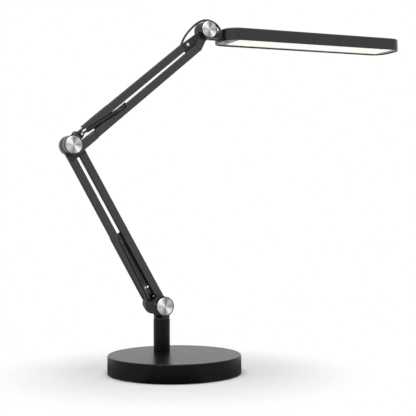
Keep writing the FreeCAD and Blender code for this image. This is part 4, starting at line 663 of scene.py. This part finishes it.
class LampColours(bpy.types.PropertyGroup):
    """Colours of the lamp's main finishes."""
    arm: FloatVectorProperty(name="Arms", description="Coat of the arms and hubs", subtype="COLOR",
                             default=tone("#181818"))
    arm_light: FloatVectorProperty(name="Arms, lighter", description="Lighter shade of the arms' coat",
                                   subtype="COLOR", default=tone("#1c1c1c"))
    head: FloatVectorProperty(name="Head", description="Moulding of the head", subtype="COLOR",
                              default=tone("#131313"))
    head_light: FloatVectorProperty(name="Head, lighter", description="Lighter shade of the head's moulding",
                                    subtype="COLOR", default=tone("#171717"))
    light: FloatVectorProperty(name="Light", description="Glow of the diffuser's middle", subtype="COLOR",
                               default=tone("#fffcf2"))
    light_rim: FloatVectorProperty(name="Light at the rim", description="Glow of the diffuser's border",
                                   subtype="COLOR", default=tone("#fff4d8"))


class LampStage(bpy.types.PropertyGroup):
    """The studio round the lamp."""
    floor: FloatVectorProperty(name="Floor", description="Colour of the floor", subtype="COLOR",
                               default=tone("#f1f1f0"))
    key: FloatProperty(name="Key light", description="Power of the soft light above the camera", default=7.0,
                       unit="POWER")
    top: FloatProperty(name="Top light", description="Power of the soft light over the lamp", default=26.0,
                       unit="POWER")
    lens: FloatProperty(name="Lens", description="Focal length of the camera", default=80.48,
                        subtype="DISTANCE_CAMERA")


# Operators

class LAMP_OT_finishes(bpy.types.Operator):
    """Makes every finish and lays it on the solids, also on those inside"""
    bl_idname = "desk_lamp.finishes"
    bl_label = "Finishes"

    def execute(self, context):
        FINISH.update(make_finishes(context.scene.lamp_colours))
        for node, obj in frame["nodes"].items():
            obj.data.materials.clear()
            obj.data.materials.append(FINISH[SLOT_OF[node]])
        return {"FINISHED"}


class LAMP_OT_base(bpy.types.Operator):
    """Makes the base, its post and the inlet"""
    bl_idname = "desk_lamp.base"
    bl_label = "Base and post"

    def execute(self, context):
        ease_all(BASE_PIECES, context.scene.lamp_sizes.ease_share)
        return {"FINISHED"}


class LAMP_OT_arms(bpy.types.Operator):
    """Makes the turret and both arms"""
    bl_idname = "desk_lamp.arms"
    bl_label = "Turret and arms"

    def execute(self, context):
        for pieces in (TURRET_PIECES, LOWER_ARM_PIECES, UPPER_ARM_PIECES):
            ease_all(pieces, context.scene.lamp_sizes.ease_share)
        return {"FINISHED"}


class LAMP_OT_head(bpy.types.Operator):
    """Makes the head with its diffuser and button"""
    bl_idname = "desk_lamp.head"
    bl_label = "Head"

    def execute(self, context):
        ease_all(HEAD_PIECES, context.scene.lamp_sizes.ease_share)
        return {"FINISHED"}


class LAMP_OT_caps(bpy.types.Operator):
    """Turns the two aluminium caps of each hub"""
    bl_idname = "desk_lamp.caps"
    bl_label = "Hub caps"

    def execute(self, context):
        steps = context.scene.lamp_sizes.disc_steps
        for node, hub in (("turret_caps", LOWER_HUB), ("elbow_caps", ELBOW_HUB), ("head_caps", HEAD_HUB)):
            low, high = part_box(node)
            radius, face = (high.z - low.z) / 2, (high.y - low.y) / 2
            seat, chamfer, land = face - CAP_THICKNESS * MM, CAP_CHAMFER * MM, CAP_LAND * MM
            profile = [(radius * share, face - depth * MM) for share, depth in CAP_DISH]
            profile += [(radius - chamfer - land, face), (radius - chamfer, face), (radius, face - chamfer),
                        (radius, seat), (0, seat)]
            both = bmesh.new()
            for quarter in (1, -1):
                disc = turned_disc(profile, steps)
                disc.transform(Matrix.Translation(hub) @ Matrix.Rotation(math.radians(90 * quarter), 4, "X"))
                both.from_mesh(disc)
            mesh = bpy.data.meshes.new(node)
            both.to_mesh(mesh)
            both.free()
            mesh.set_sharp_from_angle(angle=TURNED_CREASE)
            stands_for(linked(node + "_turned", mesh), node)
        return {"FINISHED"}


class LAMP_OT_springs(bpy.types.Operator):
    """Winds the two tension springs and fits their eyes"""
    bl_idname = "desk_lamp.springs"
    bl_label = "Springs"

    def execute(self, context):
        sizes = context.scene.lamp_sizes
        tree = spring_tree()
        rows = (
            ("lower_spring", LOWER_PIN, LOWER_ANCHOR, LOWER_BARE, ("turret", "lower_arm"), LOWER_ALONG,
             LOWER_BEND, sizes.lower_turns, sizes.lower_coil, sizes.lower_wire),
            ("upper_spring", UPPER_PIN, UPPER_ANCHOR, UPPER_BARE, ("lower_arm", "upper_arm"), UPPER_ALONG,
             UPPER_BEND, sizes.upper_turns, sizes.upper_coil, sizes.upper_wire),
        )
        for node, pin, anchor, (before, after), bodies, along, bend, turns, coil, wire in rows:
            bends = (*bodies, *(pin + along * reach * MM for reach in bend))
            way = (anchor - pin).normalized()
            first, last = pin + way * before * MM, anchor - way * after * MM
            spring = linked(node + "_wound", bpy.data.meshes.new(node))
            grown(spring, tree, {
                "Turns": float(turns), "Coil Radius": coil, "Wire Radius": wire,
                "Length": (last - first).length, "Finish": FINISH[SLOT_OF[node]],
            })
            spring.data.transform(aimed(first, last))
            stands_for(spring, node, bends)
            stands_for(eased(node + "_ends", SPRING_END_EASE), node + "_ends", bends)
        return {"FINISHED"}


class LAMP_OT_lead(bpy.types.Operator):
    """Runs the lead's loops over the three hubs"""
    bl_idname = "desk_lamp.lead"
    bl_label = "Lead loops"

    def execute(self, context):
        tree = lead_tree()
        rows = (
            ("turret_lead_loop", LOWER_HUB, TURRET_LOOP, "turret", "lower_arm"),
            ("elbow_lead_loop", ELBOW_HUB, ELBOW_LOOP, "lower_arm", "upper_arm"),
            ("head_lead_loop", HEAD_HUB, HEAD_LOOP, "upper_arm", "head"),
        )
        for node, hub, route, before, after in rows:
            loop = route_line(node + "_run", hub, route)
            grown(loop, tree, {
                "Lead Radius": context.scene.lamp_sizes.lead_radius, "Finish": FINISH[SLOT_OF[node]],
            })
            ends = [hub + Vector(point) * MM for point in (route[1], route[-2])]
            stands_for(loop, node, (before, after, *ends))
        return {"FINISHED"}


class LAMP_OT_screws(bpy.types.Operator):
    """Drives the cross head screws of the base, the webs and the knuckle"""
    bl_idname = "desk_lamp.screws"
    bl_label = "Screws"

    def execute(self, context):
        tree = screw_tree()
        for node, (facing, height) in SCREWS.items():
            axis = max(range(3), key=lambda i: abs(facing[i]))
            by_size = {}
            for low, high in separate_boxes(node):
                across = [high[i] - low[i] for i in range(3) if i != axis]
                seat = (low + high) / 2
                seat[axis] = (high if facing[axis] > 0 else low)[axis] - facing[axis] * height * MM
                by_size.setdefault(round(max(across) / 2 / MM, 1), []).append((seat, high[axis] - low[axis]))
            for radius, places in sorted(by_size.items()):
                points = bpy.data.meshes.new(node)
                points.from_pydata([seat for seat, length in places], [], [])
                mark = points.attributes.new("facing", "FLOAT_VECTOR", "POINT")
                mark.data.foreach_set("vector", list(facing) * len(places))
                bright = node == "knuckle_screws" and radius > BRIGHT_BOLT
                slot = "bright_steel" if bright else SLOT_OF[node]
                screws = grown(linked(f"{node}_driven_{len(places)}", points), tree, {
                    "Head Radius": radius * MM, "Head Height": height * MM,
                    "Shank Radius": radius * SHANK_RADIUS * MM,
                    "Shank Length": places[0][1] - height * MM, "Finish": FINISH[slot],
                })
                screws.data.set_sharp_from_angle(angle=SCREW_CREASE)
                stands_for(screws, node, slot=slot)
        return {"FINISHED"}


class LAMP_OT_stage(bpy.types.Operator):
    """Sets up the floor, the soft lights, the background and the camera"""
    bl_idname = "desk_lamp.stage"
    bl_label = "Stage"

    def execute(self, context):
        scene, stage = context.scene, context.scene.lamp_stage
        scene.view_settings.view_transform = "Standard"
        ahead = Vector((math.sin(CAMERA_SWING), math.cos(CAMERA_SWING), 0))
        right = Vector((math.cos(CAMERA_SWING), -math.sin(CAMERA_SWING), 0))
        self.floor(stage, ahead)
        self.background(scene, ahead)
        key_place = LIGHT_TARGET - ahead * KEY_BACK - right * KEY_LEFT + Vector((0, 0, KEY_UP))
        rows = (
            ("key_light", key_place, KEY_SIZE, stage.key),
            ("top_light", LIGHT_TARGET + Vector((0, 0, TOP_UP)), TOP_SIZE, stage.top),
        )
        for name, place, (width, height), power in rows:
            light = bpy.data.lights.new(name, "AREA")
            light.shape = "RECTANGLE"
            light.size, light.size_y, light.energy = width, height, power
            lamp = bpy.data.objects.new(name, light)
            scene.collection.objects.link(lamp)
            lamp.location = place
            lamp.rotation_mode = "QUATERNION"
            lamp.rotation_quaternion = (LIGHT_TARGET - place).to_track_quat("-Z", "Y")
        self.camera(scene, stage, ahead, right)
        return {"FINISHED"}

    def panels(self, tree, way, ahead, stops):
        """Half of the level given for each share of the way from the camera's side to the far side."""
        facing = add(tree, "ShaderNodeVectorMath", {0: way, 1: ahead}, operation="DOT_PRODUCT")
        share = add(tree, "ShaderNodeMapRange", {
            "Value": facing.outputs["Value"], "From Min": -1.0, "From Max": 1.0,
        })
        ramp = add(tree, "ShaderNodeValToRGB", {"Fac": share.outputs["Result"]})
        for place, level in stops[1:-1]:
            ramp.color_ramp.elements.new(place)
        for element, (place, level) in zip(ramp.color_ramp.elements, stops):
            element.position, element.color = place, (level / 2, level / 2, level / 2, 1)
        return ramp.outputs["Color"]

    def rays(self, tree):
        """Marks the rays in reflections and through glass, and those together with the camera's."""
        path = add(tree, "ShaderNodeLightPath")
        shiny = add(tree, "ShaderNodeMath", {
            0: path.outputs["Is Glossy Ray"], 1: path.outputs["Is Transmission Ray"]}, operation="MAXIMUM")
        seen = add(tree, "ShaderNodeMath", {
            0: path.outputs["Is Camera Ray"], 1: shiny.outputs["Value"]}, operation="MAXIMUM")
        return shiny.outputs["Value"], seen.outputs["Value"]

    def floor(self, stage, ahead):
        """Pale floor that keeps the lamp's shadow and clears to the white background away from it, to the camera
        and in reflections. Near the lamp, reflections show painted light on it: bright beside the lamp, dark
        towards the camera."""
        mesh = bpy.data.meshes.new("floor")
        corners = [(x * FLOOR_REACH, y * FLOOR_REACH, 0) for x, y in ((-1, -1), (1, -1), (1, 1), (-1, 1))]
        mesh.from_pydata(corners, [], [(0, 1, 2, 3)])
        floor = linked("floor", mesh)
        material, tree, shader = blank("pale_paper_floor")
        shader.inputs["Roughness"].default_value = 0.9
        shader.inputs["Specular IOR Level"].default_value = 0.0
        shiny, seen = self.rays(tree)
        place = add(tree, "ShaderNodeTexCoord").outputs["Object"]
        way = add(tree, "ShaderNodeVectorMath", {0: place}, operation="NORMALIZE")
        away = add(tree, "ShaderNodeVectorMath", {0: place}, operation="LENGTH")
        # Painted light: in reflections the floor's colour is graded by its way round the lamp, bright beside it
        # and dark towards the camera.
        paper_and_painted_light = add(tree, "ShaderNodeMix", {"Factor": shiny}, data_type="RGBA")
        paper_and_painted_light.inputs["A"].default_value = (*stage.floor, 1)
        near = add(tree, "ShaderNodeMapRange", {
            "Value": away.outputs["Value"], "From Min": FLOOR_PAINTED_LIGHT_BAND[0], "From Max": FLOOR_PAINTED_LIGHT_BAND[1],
            "To Min": FLOOR_PAINTED_LIGHT_GAIN[0], "To Max": FLOOR_PAINTED_LIGHT_GAIN[1],
        })
        panels = self.panels(tree, way.outputs["Vector"], ahead, FLOOR_PAINTED_LIGHT_LEVELS)
        lit = add(tree, "ShaderNodeVectorMath", {0: panels, "Scale": near.outputs["Result"]},
                  operation="SCALE")
        shown = add(tree, "ShaderNodeVectorMath", {0: lit.outputs["Vector"], 1: (1, 1, 1)},
                    operation="MINIMUM")
        tree.links.new(shown.outputs["Vector"], paper_and_painted_light.inputs["B"])
        tree.links.new(paper_and_painted_light.outputs["Result"], shader.inputs["Base Color"])
        share = add(tree, "ShaderNodeMapRange", {
            "Value": away.outputs["Value"], "From Min": FLOOR_FADE[0], "From Max": FLOOR_FADE[1],
        }, interpolation_type="SMOOTHSTEP")
        faded = add(tree, "ShaderNodeMath", {0: seen, 1: share.outputs["Result"]}, operation="MULTIPLY")
        clear = add(tree, "ShaderNodeBsdfTransparent")
        both = add(tree, "ShaderNodeMixShader", {
            "Fac": faded.outputs["Value"], 1: shader.outputs["BSDF"], 2: clear.outputs["BSDF"]})
        tree.links.new(both.outputs["Shader"], tree.nodes["Material Output"].inputs["Surface"])
        mesh.materials.append(material)

    def background(self, scene, ahead):
        """White to the camera and in reflections. The light on the lamp comes from a dark wall behind the
        camera, soft panels beside it and a pale wall beyond."""
        world = bpy.data.worlds.new("studio")
        world.use_nodes = True
        tree = world.node_tree
        tree.nodes.clear()
        seen = self.rays(tree)[1]
        way = add(tree, "ShaderNodeTexCoord").outputs["Generated"]
        panels = self.panels(tree, way, ahead, STUDIO_LEVELS)
        rise = add(tree, "ShaderNodeSeparateXYZ", {"Vector": way})
        height = add(tree, "ShaderNodeMath", {0: rise.outputs["Z"]}, operation="ABSOLUTE")
        level = add(tree, "ShaderNodeMapRange", {
            "Value": height.outputs["Value"], "From Min": STUDIO_BAND[0], "From Max": STUDIO_BAND[1],
            "To Min": STUDIO_GAIN[0], "To Max": STUDIO_GAIN[1],
        })
        studio = add(tree, "ShaderNodeBackground", {"Color": panels, "Strength": level.outputs["Result"]})
        white = add(tree, "ShaderNodeBackground", {"Color": (1, 1, 1, 1), "Strength": 1.0})
        both = add(tree, "ShaderNodeMixShader", {
            "Fac": seen, 1: studio.outputs["Background"], 2: white.outputs["Background"]})
        add(tree, "ShaderNodeOutputWorld", {"Surface": both.outputs["Shader"]})
        scene.world = world

    def camera(self, scene, stage, ahead, right):
        """Level camera at the height of the lower arm, a little rolled."""
        up = (Vector((0, 0, 1)) + right * CAMERA_ROLL).normalized()
        side = ahead.cross(up).normalized()
        lens = bpy.data.cameras.new("camera")
        lens.sensor_width, lens.lens, lens.shift_y = SENSOR_WIDTH, stage.lens, CAMERA_SHIFT
        eye = bpy.data.objects.new("camera", lens)
        scene.collection.objects.link(eye)
        turn = Matrix((side, up, -ahead)).transposed().to_4x4()
        eye.matrix_world = Matrix.Translation(CAMERA_PLACE) @ turn
        scene.camera = eye


class LAMP_PT_panel(bpy.types.Panel):
    """Shows the lamp's settings and a button for each step that makes it"""
    bl_idname = "LAMP_PT_panel"
    bl_label = "Desk lamp"
    bl_space_type = "VIEW_3D"
    bl_region_type = "UI"
    bl_category = "Desk lamp"

    def draw(self, context):
        for group in ("lamp_sizes", "lamp_colours", "lamp_stage"):
            box = self.layout.box()
            settings = getattr(context.scene, group)
            for name in settings.__annotations__:
                box.prop(settings, name)
        for operator in OPERATORS:
            self.layout.operator(operator.bl_idname)


GROUPS = {"lamp_sizes": LampSizes, "lamp_colours": LampColours, "lamp_stage": LampStage}
OPERATORS = (
    LAMP_OT_finishes, LAMP_OT_base, LAMP_OT_arms, LAMP_OT_head, LAMP_OT_caps, LAMP_OT_springs, LAMP_OT_lead,
    LAMP_OT_screws, LAMP_OT_stage,
)
CLASSES = (*GROUPS.values(), *OPERATORS, LAMP_PT_panel)


def register():
    for cls in CLASSES:
        bpy.utils.register_class(cls)
    for name, group in GROUPS.items():
        setattr(bpy.types.Scene, name, PointerProperty(type=group))


def unregister():
    for name in GROUPS:
        delattr(bpy.types.Scene, name)
    for cls in reversed(CLASSES):
        bpy.utils.unregister_class(cls)


def main():
    register()
    bpy.ops.desk_lamp.finishes()
    bpy.ops.desk_lamp.base()
    bpy.ops.desk_lamp.arms()
    bpy.ops.desk_lamp.head()
    bpy.ops.desk_lamp.caps()
    bpy.ops.desk_lamp.springs()
    bpy.ops.desk_lamp.lead()
    bpy.ops.desk_lamp.screws()
    bpy.ops.desk_lamp.stage()


if __name__ == "__main__":
    main()
